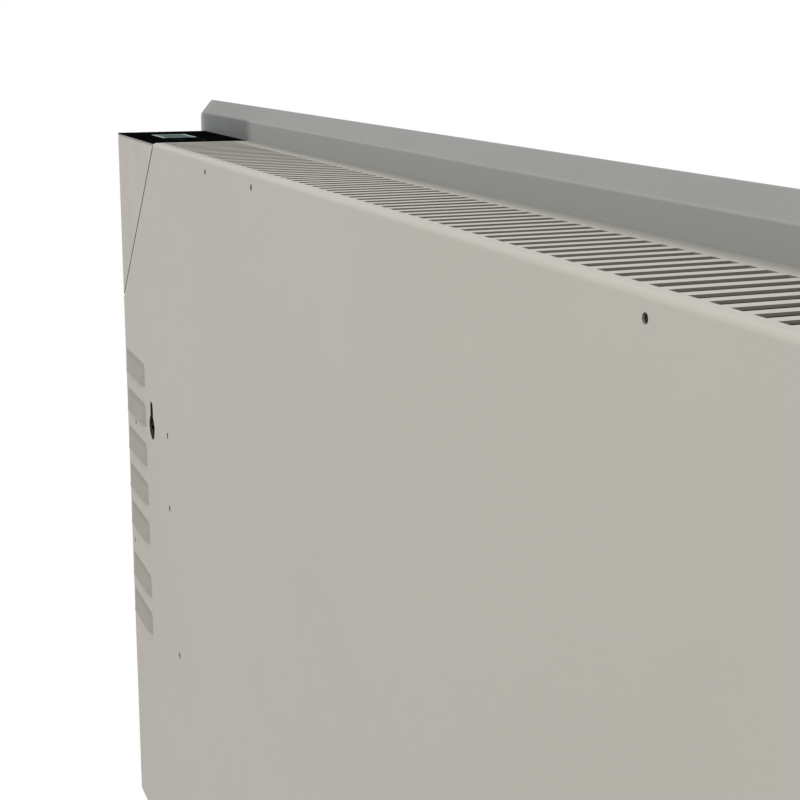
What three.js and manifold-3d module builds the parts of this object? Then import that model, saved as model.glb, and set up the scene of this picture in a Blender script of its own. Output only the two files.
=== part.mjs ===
import * as THREE from 'three';
import { mergeVertices } from 'three/addons/utils/BufferGeometryUtils.js';
import { ConvexGeometry } from 'three/addons/geometries/ConvexGeometry.js';
import Module from 'manifold-3d';

// Wall-hung electric panel heater, in millimetres, +Z up. The origin is the centre of the
// casing's back plane. +X runs to the control end, +Y points at the wall and -Y at the room.
// "Along" is measured from the control end towards the far end, "down" from the casing's top,
// and "deep" from the back plane towards the room.

// Rear casing, folded from sheet steel
const BODY_LENGTH = 864;
const BODY_HEIGHT = 400;
const BODY_DEPTH = 50;
const SHEET = 1.2;
const BEND_RADIUS = 2;
const CASING_CORNER = 3;

// Gap between pieces that are seated on each other, and how far a cutter runs past a face
const FIT = 0.3;
const OVERRUN = 1;

// Outlet grille in the top, intake grille in the bottom
const SLOT_WIDTH = 4.4;
const SLOT_PITCH = 8;
const SLOT_REAR_BORDER = 5.1;
const SLOT_FRONT_BORDER = 9.2;
const SLOT_CORNER = 0.6;
const GRILLE_START = 98.7;
const GRILLE_FAR_BORDER = 12;
const INTAKE_WIDTH = 6;
const INTAKE_PITCH = 14;
const INTAKE_START = 106;

// Pressed louvres that air the electronics, in an upper and a lower group
const LOUVRE_DOWN = 122.6;
const LOUVRE_PITCH = 22.7;
const LOUVRE_GROUP_STEP = 31.3;
const LOUVRE_HEIGHT = 12;
const LOUVRE_PROUD = 2;
const LOUVRE_ALONG = 3;
const LOUVRE_LENGTH = 48.6;
const LOUVRE_TAPER = 7;
const LOUVRE_SLIT = 0.5;
const UPPER_LOUVRES = 5;
const LOWER_LOUVRES = 2;

// Keyholes for the wall screws, one near each end
const KEYHOLE_ALONG = 67;
const KEYHOLE_DOWN = 154.7;
const KEYHOLE_DIAMETER = 13.4;
const KEYHOLE_NECK = 5.8;
const KEYHOLE_RISE = 14.4;

// Small pierced holes in the back
const PIERCED_DIAMETER = 2.8;
const TOP_HOLE_ALONG = 199.8;
const FAR_TOP_HOLE_ALONG = 584.2;
const TOP_HOLE_STEP = 75;
const TOP_HOLE_DOWN = 6;
const SIDE_HOLE_ALONG = 105.2;
const SIDE_HOLE_DOWN = 150;
const SIDE_HOLE_STEP = 39.3;
const LOW_HOLE_ALONG = 118.4;
const LOW_HOLE_DOWN = 266.1;

// Front panel: sheet steel, larger than the casing, with a bevelled edge and a returned rim
const PANEL_REAR_PROUD = 10;
const PANEL_FRONT_PROUD = 18.8;
const PANEL_BEVEL_DEPTH = 9.7;
const PANEL_FRONT_BEND = 1.5;
const PANEL_REAR_BEND = 3;
const PANEL_CORNER = 3;
const COLLAR_DEPTH = 8;
const COLLAR_CORNER = 1.5;
const PANEL_FACE_START = 20;

// Control module: a wedge at the casing's top corner, parted from it by a 45 degree seam
const MODULE_LEG = 92.5;
const SEAM_GAP = 0.45;
const SEAM_NOTCH = 1.5;
const HOUSING_WALL = 2.5;
const HOUSING_TIP = 1.5;
const OVERLAY_THICKNESS = 0.4;
const LIP_THICKNESS = 1;
const OVERLAY_CORNER = 0.8;

// LCD in the overlay's window
const WINDOW_ALONG = 22.5;
const WINDOW_LENGTH = 31.5;
const WINDOW_DEEP = 13.5;
const WINDOW_WIDTH = 19.9;
const LCD_RECESS = 0.15;
const LCD_BORDER = 2;
const LCD_THICKNESS = 3.2;

// Control board under the lip, on four posts of the lip
const BOARD_DOWN = 7;
const BOARD_THICKNESS = 1.6;
const BOARD_ALONG = 3.5;
const BOARD_LENGTH = 76;
const BOARD_MARGIN = 3.5;
const POST_DIAMETER = 5;
const POST_INSET = 2.8;

// Low-travel keys, two by two, over a rubber mat with a dome under each
const KEY_SIZE = 9;
const KEY_PITCH = 12;
const KEY_ALONG = 62;
const KEY_TRAVEL = 0.8;
const KEY_FLANGE = 0.7;
const KEY_FLANGE_THICKNESS = 1.2;
const KEY_STEM_DIAMETER = 5;
const MAT_THICKNESS = 0.7;
const MAT_MARGIN = 1;
const DOME_DIAMETER = 6;
const DOME_HEIGHT = 1;

// Bulkhead behind the seam, and the two screws that hold the housing to it
const BULKHEAD_FLANGE = 8;
const HOUSING_SCREW_ALONG = 60;
const HOUSING_SCREW_DEEP = 14;
const BOSS_DIAMETER = 8;
const BOSS_LENGTH = 4;

// Partition between the electronics and the heating chamber
const PARTITION_ALONG = 93.4;
const PARTITION_INSET = 3.5;
const PARTITION_FLANGE = 8;
const PARTITION_SETBACK = 0.8;
const WIRE_HOLE_DOWN = 300;
const WIRE_HOLE_DIAMETER = 12;

// Heating element: finned aluminium bar on a steel rod, held by ceramic bushes in two brackets
const ELEMENT_DOWN = 320;
const ELEMENT_SETBACK = 2;
const FINS_ALONG = 136;
const FINS_FAR = 48;
const FIN_REACH_Y = 14;
const FIN_REACH_Z = 32;
const FIN_THICKNESS = 2;
const HUB_RADIUS = 7;
const ROD_RADIUS = 4;
const ROD_PAST_FINS = 14;
const PIN_RADIUS = 1.6;
const PIN_LENGTH = 8;
const BUSH_RADIUS = 8;
const BUSH_COLLAR_RADIUS = 10;
const BUSH_COLLAR_LENGTH = 3;
const BUSH_LENGTH = 9;
const BRACKET_GAP = 5;
const BRACKET_FLANGE = 12;
const BRACKET_SETBACK = 7;
const BRACKET_HALF_HEIGHT = 42;

// Heat shield between the element and the front panel
const SHIELD_THICKNESS = 0.8;
const SHIELD_TOP_DOWN = 70;
const SHIELD_BOTTOM_UP = 14;
const SHIELD_OVERHANG = 16;
const SHIELD_HEM = 7;

// Overheat cut-out on the partition
const CUTOUT_DOWN = 276;
const CUTOUT_RADIUS = 8;
const CUTOUT_LENGTH = 6;
const CUTOUT_BASE_RADIUS = 10;
const CUTOUT_BASE_LENGTH = 2;
const SPADE_WIDTH = 6.3;
const SPADE_THICKNESS = 0.8;
const SPADE_LENGTH = 7;
const SPADE_SPACING = 8;

// Power board behind the louvres, on four nylon posts
const POWER_ALONG = 4;
const POWER_LENGTH = 55;
const POWER_DOWN = 156;
const POWER_HEIGHT = 106;
const POWER_DEEP = 16;
const STANDOFF_RADIUS = 3;
const UPPER_STANDOFF_ALONG = 23.2;
const UPPER_STANDOFF_DOWN = 162;
const LOWER_STANDOFF_ALONG = 8;
const LOWER_STANDOFF_DOWN = 237;
const INNER_STANDOFF_ALONG = 55.5;
const RELAY_ALONG = 34;
const RELAY_DOWN = 172;
const RELAY_LENGTH = 20;
const RELAY_HEIGHT = 16;
const RELAY_DEPTH = 15.5;
const SUPPLY_ALONG = 8;
const SUPPLY_DOWN = 170;
const SUPPLY_LENGTH = 22;
const SUPPLY_HEIGHT = 26;
const SUPPLY_DEPTH = 17;
const CAPACITOR_ALONG = 44;
const CAPACITOR_DOWN = 199;
const CAPACITOR_RADIUS = 5;
const CAPACITOR_LENGTH = 16;
const SINK_ALONG = 14;
const SINK_DOWN = 204;
const SINK_LENGTH = 22;
const SINK_HEIGHT = 24;
const SINK_DEPTH = 18;
const SINK_BASE = 3;
const SINK_FIN = 2;
const SINK_FINS = 5;
const TERMINAL_ALONG = 12;
const TERMINAL_MARGIN = 6;
const TERMINAL_LENGTH = 38;
const TERMINAL_HEIGHT = 12;
const TERMINAL_DEPTH = 14;
const TERMINAL_POLES = 4;
const TERMINAL_MOUTH = 3.6;
const TERMINAL_MOUTH_DEPTH = 6;
const SOCKET_HEIGHT = 6;
const SOCKET_DEPTH = 6;

// Mains rocker switch in the control end wall
const SWITCH_DOWN = 108;
const SWITCH_BODY_HEIGHT = 20;
const SWITCH_BODY_WIDTH = 13.4;
const SWITCH_BODY_DEPTH = 15;
const SWITCH_BEZEL = 1.8;
const SWITCH_BEZEL_BORDER = 1.6;
const ROCKER_HALF_HEIGHT = 8;
const ROCKER_WIDTH = 10.4;
const ROCKER_POCKET = 9;
const ROCKER_POCKET_PLAY = 0.6;
const ROCKER_PIVOT_DEPTH = 2;
const ROCKER_VALLEY = 1;
const ROCKER_FOOT = 4.5;
const ROCKER_FOOT_HALF = 4.6;
const ROCKER_PIN_RADIUS = 1.2;
const ROCKER_PIN_LENGTH = 0.8;
const ROCKER_TILT_DEGREES = 10;

// Cable gland in the bottom wall, without its cord
const GLAND_ALONG = 62;
const GLAND_BORE_RADIUS = 4.2;
const GLAND_NECK_RADIUS = 7.7;
const GLAND_FLANGE_RADIUS = 11;
const GLAND_FLANGE_LENGTH = 3;
const GLAND_NECK_LENGTH = 13;
const GLAND_NUT_RADIUS = 11;
const GLAND_NUT_LENGTH = 4.5;

// Room sensor in a clip below the louvres
const SENSOR_ALONG = 30;
const SENSOR_DOWN = 296;
const SENSOR_RADIUS = 2;
const SENSOR_LENGTH = 14;
const CLIP_SIZE = 8;
const CLIP_HEIGHT = 7;

// Ribbon between the boards, and the wires
const RIBBON_ALONG = 33;
const RIBBON_WIDTH = 10;
const RIBBON_THICKNESS = 0.8;
const RIBBON_WINDOW = 4;
const RIBBON_BEND_SPAN = 20;
const WIRE_RADIUS = 1.3;
const SENSOR_WIRE_RADIUS = 0.8;
const WIRE_DROP = 16;
const RETURN_WIRE_UP = 30;
const RETURN_WIRE_DEEP = 7;
const RETURN_WIRE_PAST_PIN = 12;

// Screws
const SCREW_RADIUS = 1.9;
const SCREW_HEAD_RADIUS = 3.6;
const SCREW_HEAD_HEIGHT = 2.2;
const SCREW_LENGTH = 7;
const PANEL_SCREW_SHARES = [-0.4, -0.14, 0.14, 0.4];
const END_SCREW_SHARE = 0.25;
const SHIELD_SCREW_SHARE = 0.6;

// How finely round shapes are divided
const BEND_STEPS = 3;
const CORNER_STEPS = 2;
const HOLE_SIDES = 8;
const ROUND_SIDES = 12;
const SCREW_SIDES = 8;
const WIRE_SIDES = 6;
const SHORT_WIRE_STEPS = 14;
const LONG_WIRE_STEPS = 46;

const STACK = OVERLAY_THICKNESS + LIP_THICKNESS;
const MODULE_TOP = MODULE_LEG - STACK;
const SEAM_LEG = MODULE_LEG + SEAM_GAP * Math.SQRT2;
const PANEL_REAR = BODY_DEPTH + FIT;
const PANEL_FRONT = PANEL_REAR + PANEL_BEVEL_DEPTH;
const COLLAR_END = PANEL_REAR - COLLAR_DEPTH;
const BOARD_UNDER = BOARD_DOWN + BOARD_THICKNESS;
const KEY_FLANGE_DOWN = STACK + FIT;
const MAT_DOWN = BOARD_DOWN - MAT_THICKNESS;
const INNER_FACE = SHEET + FIT;
const MIDDLE_DEEP = BODY_DEPTH / 2;
const KEY_DEEP = MIDDLE_DEEP - KEY_PITCH / 2;
const PARTITION_FRONT = BODY_DEPTH - PARTITION_SETBACK;
const ELEMENT_DEEP = MIDDLE_DEEP - ELEMENT_SETBACK;
const BRACKET_DEPTH = BODY_DEPTH - BRACKET_SETBACK;
const ROD_ALONG = FINS_ALONG - ROD_PAST_FINS;
const ROD_END = BODY_LENGTH - FINS_FAR + ROD_PAST_FINS;
const POWER_FRONT = POWER_DEEP + BOARD_THICKNESS;
const POWER_END = POWER_DOWN + POWER_HEIGHT;
const TERMINAL_END = POWER_END - TERMINAL_MARGIN;
const TERMINAL_DOWN = TERMINAL_END - TERMINAL_HEIGHT;
const SCREW_HOLE_RADIUS = SCREW_RADIUS + FIT;
const SCREW_BITE = SHEET + FIT + SHEET + SCREW_RADIUS;

const wasm = await Module();
wasm.setup();

const fromEnd = (along) => BODY_LENGTH / 2 - along;
const fromTop = (down) => BODY_HEIGHT / 2 - down;
const at = (along, deep, down) => new THREE.Vector3(fromEnd(along), -deep, fromTop(down));

// Closed geometry with shared vertices, no flat triangles and its faces pointing out
function closed(geometry) {
  const bare = geometry.clone();
  bare.deleteAttribute('normal');
  bare.deleteAttribute('uv');
  const merged = mergeVertices(bare);
  const source = merged.index.array;
  const corner = merged.attributes.position;
  const faces = [];
  for (let i = 0; i < source.length; i += 3) {
    const [a, b, c] = [source[i], source[i + 1], source[i + 2]];
    if (a !== b && b !== c && c !== a) faces.push([a, b, c]);
  }
  let volume = 0;
  for (const face of faces) {
    const [a, b, c] = face.map((index) => new THREE.Vector3().fromBufferAttribute(corner, index));
    volume += a.dot(b.cross(c));
  }
  const outward = volume > 0 ? faces : faces.map(([a, b, c]) => [a, c, b]);
  const result = new THREE.BufferGeometry();
  result.setAttribute('position', corner.clone());
  result.setIndex(outward.flat());
  return result;
}

function toSolid(geometry) {
  const ready = closed(geometry);
  return new wasm.Manifold(new wasm.Mesh({
    numProp: 3,
    vertProperties: new Float32Array(ready.attributes.position.array),
    triVerts: new Uint32Array(ready.index.array),
  }));
}

function toGeometry(solid) {
  const mesh = solid.getMesh();
  const result = new THREE.BufferGeometry();
  result.setAttribute('position', new THREE.BufferAttribute(new Float32Array(mesh.vertProperties), 3));
  result.setIndex(new THREE.BufferAttribute(new Uint32Array(mesh.triVerts), 1));
  return result;
}

const joined = (first, ...others) => toGeometry(
  others.reduce((sum, other) => sum.add(toSolid(other)), toSolid(first)),
);
const cut = (first, ...tools) => toGeometry(
  tools.reduce((rest, tool) => rest.subtract(toSolid(tool)), toSolid(first)),
);
const common = (first, second) => toGeometry(toSolid(first).intersect(toSolid(second)));

// Block between two corners, each given as along, deep and down
function block([along, deep, down], [along2, deep2, down2]) {
  const box = new THREE.BoxGeometry(
    Math.abs(along2 - along), Math.abs(deep2 - deep), Math.abs(down2 - down));
  const middle = at((along + along2) / 2, (deep + deep2) / 2, (down + down2) / 2);
  return box.translate(middle.x, middle.y, middle.z);
}

// Plate parallel to the back, from outline points given as along and down
function backPlate(outline, deep, deep2) {
  const points = outline.map(([along, down]) => new THREE.Vector2(fromEnd(along), fromTop(down)));
  const plate = new THREE.ExtrudeGeometry(
    new THREE.Shape(points), { depth: deep2 - deep, bevelEnabled: false });
  return plate.rotateX(Math.PI / 2).translate(0, -deep, 0);
}

// Level plates between two heights, from outlines given as along and deep
function levelPlates(outlines, down, down2) {
  const place = ([along, deep]) => new THREE.Vector2(fromEnd(along), -deep);
  const shapes = outlines.map((outline) => new THREE.Shape(outline.map(place)));
  const plates = new THREE.ExtrudeGeometry(shapes, { depth: down2 - down, bevelEnabled: false });
  return plates.translate(0, 0, fromTop(down2));
}

// Bar along the heater, from an outline given as deep and down
function bar(outline, along, along2) {
  const shape = new THREE.Shape(outline.map(([deep, down]) => new THREE.Vector2(-deep, fromTop(down))));
  const length = along2 - along;
  const geometry = new THREE.ExtrudeGeometry(shape, { depth: length, bevelEnabled: false });
  const turn = new THREE.Matrix4().makeBasis(
    new THREE.Vector3(0, 1, 0), new THREE.Vector3(0, 0, 1), new THREE.Vector3(1, 0, 0));
  return geometry.applyMatrix4(turn).translate(fromEnd(along2), 0, 0);
}

const rectangle = (x, y, x2, y2) => [[x, y], [x2, y], [x2, y2], [x, y2]];

const circle = (x, y, radius, sides = HOLE_SIDES) => Array.from({ length: sides }, (_, i) => {
  const angle = (i + 1 / 2) * 2 * Math.PI / sides;
  return [x + radius * Math.cos(angle), y + radius * Math.sin(angle)];
});

// Turned piece: profile points are radius and height along the axis, which starts at a point
function turned(profile, start, axis, sides = ROUND_SIDES) {
  const outline = profile.map(([radius, height]) => new THREE.Vector2(radius, height));
  const turn = new THREE.Quaternion().setFromUnitVectors(new THREE.Vector3(0, 1, 0), axis);
  const piece = new THREE.LatheGeometry(outline, sides);
  return closed(piece.applyQuaternion(turn).translate(start.x, start.y, start.z));
}

const AXIS_ALONG = new THREE.Vector3(-1, 0, 0);
const AXIS_DEEP = new THREE.Vector3(0, -1, 0);
const AXIS_DOWN = new THREE.Vector3(0, 0, -1);
const AXIS_UP = new THREE.Vector3(0, 0, 1);
const AXIS_SEAM = new THREE.Vector3(-1, 0, -1).normalize();

const pin = (radius, length, start, axis, sides) => turned(
  [[0, 0], [radius, 0], [radius, length], [0, length]], start, axis, sides);

// Skin through a row of closed rings with equally many points, capped at both ends
function ringLoft(rings) {
  const count = rings[0].length;
  const last = rings.length - 1;
  const index = [];
  const pick = (ring, i) => ring * count + i % count;
  for (let ring = 0; ring < last; ring++) {
    for (let i = 0; i < count; i++) {
      index.push(pick(ring, i), pick(ring + 1, i), pick(ring + 1, i + 1));
      index.push(pick(ring, i), pick(ring + 1, i + 1), pick(ring, i + 1));
    }
  }
  for (let i = 1; i + 1 < count; i++) {
    index.push(0, pick(0, i), pick(0, i + 1));
    index.push(pick(last, 0), pick(last, i + 1), pick(last, i));
  }
  const geometry = new THREE.BufferGeometry();
  geometry.setAttribute('position', new THREE.Float32BufferAttribute(
    rings.flat().flatMap((point) => point.toArray()), 3));
  geometry.setIndex(index);
  return closed(geometry);
}

// Rounded rectangle round the body's outline, standing proud of it, at one depth
function outlineRing(deep, proud, radius) {
  const half = new THREE.Vector2(BODY_LENGTH / 2 + proud - radius, BODY_HEIGHT / 2 + proud - radius);
  const corners = [[1, 1], [-1, 1], [-1, -1], [1, -1]];
  return corners.flatMap(([x, z], quarter) => Array.from({ length: CORNER_STEPS + 1 }, (_, i) => {
    const angle = (quarter + i / CORNER_STEPS) * Math.PI / 2;
    return new THREE.Vector3(
      x * half.x + radius * Math.cos(angle), -deep, z * half.y + radius * Math.sin(angle));
  }));
}

// Rings of the casing's skin from its back to its open front, at an inset from the outside
function casingRings(inset) {
  const radius = BEND_RADIUS - inset;
  const bend = Array.from({ length: BEND_STEPS + 1 }, (_, i) => {
    const angle = i / BEND_STEPS * Math.PI / 2;
    const inward = inset + radius * (1 - Math.sin(angle));
    return outlineRing(inset + radius * (1 - Math.cos(angle)), -inward, CASING_CORNER - inward / 2);
  });
  return [...bend, outlineRing(BODY_DEPTH, -inset, CASING_CORNER - inset / 2)];
}

// Rectangle with its corners cut off
const slotOutline = (x, y, x2, y2) => [
  [x + SLOT_CORNER, y], [x2 - SLOT_CORNER, y], [x2, y + SLOT_CORNER], [x2, y2 - SLOT_CORNER],
  [x2 - SLOT_CORNER, y2], [x + SLOT_CORNER, y2], [x, y2 - SLOT_CORNER], [x, y + SLOT_CORNER],
];

// Slots in a row from a first place, with a pitch, as far as the far border allows
function slotRow(start, width, pitch) {
  const room = BODY_LENGTH - GRILLE_FAR_BORDER - width / 2 - start;
  return Array.from({ length: Math.floor(room / pitch) + 1 }, (_, i) => {
    const along = start + i * pitch;
    return slotOutline(
      along - width / 2, SLOT_REAR_BORDER, along + width / 2, BODY_DEPTH - SLOT_FRONT_BORDER);
  });
}

// Wedge of the control module's corner, out to a leg length, between two depths
function cornerWedge(leg, deep, deep2) {
  return backPlate([
    [-OVERRUN, -OVERRUN],
    [MODULE_TOP + SEAM_GAP, -OVERRUN],
    [MODULE_TOP + SEAM_GAP, leg - MODULE_TOP - SEAM_GAP],
    [SEAM_NOTCH, leg - SEAM_NOTCH],
    [-OVERRUN, leg + OVERRUN],
  ], deep, deep2);
}

const louvreDowns = [
  ...Array.from({ length: UPPER_LOUVRES }, (_, i) => LOUVRE_DOWN + i * LOUVRE_PITCH),
  ...Array.from({ length: LOWER_LOUVRES }, (_, i) =>
    LOUVRE_DOWN + (UPPER_LOUVRES - 1 + i) * LOUVRE_PITCH + LOUVRE_GROUP_STEP),
];

const hull = (points) => new ConvexGeometry(points.map((point) => at(...point)));

// Hood of a louvre: flush at its top, proud at its lip, its ends drawn back to the sheet
function louvreHood(down) {
  const [near, far] = [LOUVRE_ALONG, LOUVRE_ALONG + LOUVRE_LENGTH];
  const bottom = down + LOUVRE_HEIGHT;
  return hull([
    [near, 0, down], [far, 0, down], [near, 0, bottom], [far, 0, bottom],
    [near, SHEET / 2, bottom], [far, SHEET / 2, bottom],
    [near + LOUVRE_TAPER, -LOUVRE_PROUD, bottom], [far - LOUVRE_TAPER, -LOUVRE_PROUD, bottom],
  ]);
}

// Space under a hood, open through the sheet and at a slit along the lip
function louvreCavity(down) {
  const [near, far] = [LOUVRE_ALONG + SHEET, LOUVRE_ALONG + LOUVRE_LENGTH - SHEET];
  const [middle, bottom] = [down + LOUVRE_HEIGHT / 2, down + LOUVRE_HEIGHT + LOUVRE_SLIT];
  const [deep, lip] = [SHEET + OVERRUN, SHEET - LOUVRE_PROUD];
  const halfway = SHEET - LOUVRE_PROUD / 2;
  return hull([
    [near, deep, down + SHEET], [far, deep, down + SHEET], [near, deep, bottom], [far, deep, bottom],
    [near + LOUVRE_TAPER / 2, halfway, middle], [far - LOUVRE_TAPER / 2, halfway, middle],
    [near + LOUVRE_TAPER, lip, bottom], [far - LOUVRE_TAPER, lip, bottom],
  ]);
}

function keyholes() {
  const neck = KEYHOLE_NECK / 2;
  const top = KEYHOLE_DOWN - KEYHOLE_RISE;
  const hole = backPlate(
    circle(KEYHOLE_ALONG, KEYHOLE_DOWN, KEYHOLE_DIAMETER / 2, ROUND_SIDES), -OVERRUN, SHEET + OVERRUN);
  const slot = backPlate(
    rectangle(KEYHOLE_ALONG - neck, top + neck, KEYHOLE_ALONG + neck, KEYHOLE_DOWN),
    -OVERRUN, SHEET + OVERRUN);
  const slotEnd = backPlate(circle(KEYHOLE_ALONG, top + neck, neck), -OVERRUN, SHEET + OVERRUN);
  const near = joined(hole, slot, slotEnd);
  return [near, near.clone().translate(2 * KEYHOLE_ALONG - BODY_LENGTH, 0, 0)];
}

function piercedHoles() {
  const places = [
    [TOP_HOLE_ALONG, TOP_HOLE_DOWN], [TOP_HOLE_ALONG + TOP_HOLE_STEP, TOP_HOLE_DOWN],
    [FAR_TOP_HOLE_ALONG, TOP_HOLE_DOWN], [FAR_TOP_HOLE_ALONG + TOP_HOLE_STEP, TOP_HOLE_DOWN],
    [SIDE_HOLE_ALONG, SIDE_HOLE_DOWN], [SIDE_HOLE_ALONG, SIDE_HOLE_DOWN + SIDE_HOLE_STEP],
    [LOW_HOLE_ALONG, LOW_HOLE_DOWN],
    [UPPER_STANDOFF_ALONG, UPPER_STANDOFF_DOWN], [LOWER_STANDOFF_ALONG, LOWER_STANDOFF_DOWN],
  ];
  return places.map(([along, down]) => backPlate(
    circle(along, down, PIERCED_DIAMETER / 2), -OVERRUN, SHEET + OVERRUN));
}

// Screws that hold the front panel: four through the bottom wall, one through each end wall
const PANEL_SCREW_DEEP = PANEL_REAR - COLLAR_DEPTH / 2;
const END_SCREW_DOWN = BODY_HEIGHT * (1 / 2 + END_SCREW_SHARE);
const panelScrews = [
  ...PANEL_SCREW_SHARES.map((share) => ({
    head: at(BODY_LENGTH * (1 / 2 - share), PANEL_SCREW_DEEP, BODY_HEIGHT), axis: AXIS_UP,
  })),
  { head: at(0, PANEL_SCREW_DEEP, END_SCREW_DOWN), axis: AXIS_ALONG },
  { head: at(BODY_LENGTH, PANEL_SCREW_DEEP, END_SCREW_DOWN), axis: AXIS_ALONG.clone().negate() },
];

const panelScrewHoles = () => panelScrews.map(({ head, axis }) => pin(
  SCREW_HOLE_RADIUS, SCREW_LENGTH + OVERRUN, head.clone().addScaledVector(axis, -OVERRUN),
  axis, SCREW_SIDES));

function rearCasing() {
  const skin = ringLoft([...casingRings(0), ...casingRings(SHEET).reverse()]);
  const outlet = levelPlates(slotRow(GRILLE_START, SLOT_WIDTH, SLOT_PITCH), -OVERRUN, SHEET + OVERRUN);
  const intake = levelPlates(
    slotRow(INTAKE_START, INTAKE_WIDTH, INTAKE_PITCH),
    BODY_HEIGHT - SHEET - OVERRUN, BODY_HEIGHT + OVERRUN);
  const glandHole = pin(
    GLAND_NECK_RADIUS + FIT, SHEET + 2 * OVERRUN,
    at(GLAND_ALONG, MIDDLE_DEEP, BODY_HEIGHT - SHEET - OVERRUN), AXIS_DOWN);
  return cut(
    joined(skin, ...louvreDowns.map(louvreHood)), ...louvreDowns.map(louvreCavity),
    cornerWedge(SEAM_LEG, -OVERRUN, BODY_DEPTH + OVERRUN), outlet, intake,
    ...keyholes(), ...piercedHoles(), ...panelScrewHoles(), glandHole, switchCutout());
}

// Polyline whose corners with a radius become arcs
function filleted(corners) {
  return corners.flatMap(({ point, radius }, i) => {
    if (!radius) return [point];
    const back = corners[i - 1].point.clone().sub(point).normalize();
    const onward = corners[i + 1].point.clone().sub(point).normalize();
    const half = Math.acos(back.dot(onward)) / 2;
    const centre = back.clone().add(onward).setLength(radius / Math.sin(half)).add(point);
    const start = back.clone().multiplyScalar(radius / Math.tan(half)).add(point);
    const sweep = (Math.PI - 2 * half) * -Math.sign(back.cross(onward));
    return Array.from({ length: BEND_STEPS + 1 }, (_, step) =>
      start.clone().rotateAround(centre, sweep * step / BEND_STEPS));
  });
}

// Front panel: face, bevelled edge, rim returned behind it, and a collar inside the casing
function frontPanel() {
  const bevel = new THREE.Vector2(PANEL_REAR_PROUD - PANEL_FRONT_PROUD, -PANEL_BEVEL_DEPTH);
  const inward = new THREE.Vector2(-PANEL_BEVEL_DEPTH, -bevel.x).normalize().multiplyScalar(SHEET);
  const innerProud = (deep) => PANEL_FRONT_PROUD + inward.x
    + bevel.x * (deep - PANEL_FRONT - inward.y) / bevel.y;
  const corner = (proud, deep, radius = 0) => ({ point: new THREE.Vector2(proud, deep), radius });
  const profile = filleted([
    corner(-PANEL_FACE_START, PANEL_FRONT),
    corner(PANEL_FRONT_PROUD, PANEL_FRONT, PANEL_FRONT_BEND),
    corner(PANEL_REAR_PROUD, PANEL_REAR, PANEL_REAR_BEND),
    corner(-INNER_FACE, PANEL_REAR),
    corner(-INNER_FACE, COLLAR_END),
    corner(-INNER_FACE - SHEET, COLLAR_END),
    corner(-INNER_FACE - SHEET, PANEL_REAR + SHEET),
    corner(innerProud(PANEL_REAR + SHEET), PANEL_REAR + SHEET, PANEL_REAR_BEND - SHEET),
    corner(innerProud(PANEL_FRONT - SHEET), PANEL_FRONT - SHEET, PANEL_FRONT_BEND - SHEET),
    corner(-PANEL_FACE_START, PANEL_FRONT - SHEET),
  ]);
  const rings = profile.map(({ x, y }) => outlineRing(y, x, x > 0 ? PANEL_CORNER : COLLAR_CORNER));
  const relief = backPlate([
    [-OVERRUN, -OVERRUN], [SEAM_LEG + OVERRUN, -OVERRUN], [-OVERRUN, SEAM_LEG + OVERRUN],
  ], COLLAR_END - OVERRUN, PANEL_REAR);
  return cut(ringLoft(rings), relief, ...panelScrewHoles());
}

// Solid block in the casing's outer form
const casingBlock = () => ringLoft(casingRings(0));

// Cylinder square to the seam, from one distance behind it to another, on a screw's place
const seamPin = (radius, from, to, deep) => pin(
  radius, to - from,
  at(HOUSING_SCREW_ALONG, deep, MODULE_LEG - HOUSING_SCREW_ALONG).addScaledVector(AXIS_SEAM, from),
  AXIS_SEAM, SCREW_SIDES);

const housingScrewDeeps = [HOUSING_SCREW_DEEP, BODY_DEPTH - HOUSING_SCREW_DEEP];

const ribbonWindow = (down, down2) => block(
  [RIBBON_ALONG - RIBBON_WIDTH / 2 - RIBBON_WINDOW / 2, MIDDLE_DEEP - RIBBON_WINDOW, down],
  [RIBBON_ALONG + RIBBON_WIDTH / 2 + RIBBON_WINDOW / 2, MIDDLE_DEEP + RIBBON_WINDOW, down2]);

function controlHousing() {
  const wedge = common(casingBlock(), backPlate([
    [-OVERRUN, STACK], [-OVERRUN, MODULE_LEG - HOUSING_TIP],
    [HOUSING_TIP, MODULE_LEG - HOUSING_TIP], [MODULE_LEG - STACK, STACK],
  ], -OVERRUN, BODY_DEPTH + OVERRUN));
  const reach = MODULE_LEG - HOUSING_WALL * Math.SQRT2;
  const hollow = backPlate([
    [HOUSING_WALL, STACK - OVERRUN], [HOUSING_WALL, reach - HOUSING_WALL],
    [reach - STACK + OVERRUN, STACK - OVERRUN],
  ], HOUSING_WALL, BODY_DEPTH - HOUSING_WALL);
  const bosses = housingScrewDeeps.map((deep) => seamPin(
    BOSS_DIAMETER / 2, -HOUSING_WALL - BOSS_LENGTH, -HOUSING_WALL / 2, deep));
  const bores = housingScrewDeeps.map((deep) => seamPin(
    SCREW_HOLE_RADIUS, -SCREW_LENGTH - OVERRUN, OVERRUN, deep));
  return cut(joined(cut(wedge, hollow), ...bosses), ...bores, ribbonWindow(STACK + BOARD_UNDER, MODULE_LEG));
}

const keyPlaces = ['power', 'mode', 'minus', 'plus'].map((name, i) => ({
  name,
  along: KEY_ALONG + KEY_PITCH * (i % 2),
  deep: KEY_DEEP + KEY_PITCH * Math.floor(i / 2),
}));

const square = (along, deep, half) => rectangle(along - half, deep - half, along + half, deep + half);

const windowOutline = rectangle(
  WINDOW_ALONG, WINDOW_DEEP, WINDOW_ALONG + WINDOW_LENGTH, WINDOW_DEEP + WINDOW_WIDTH);

const keyOpenings = keyPlaces.map(({ along, deep }) => square(along, deep, KEY_SIZE / 2 + FIT));

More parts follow.
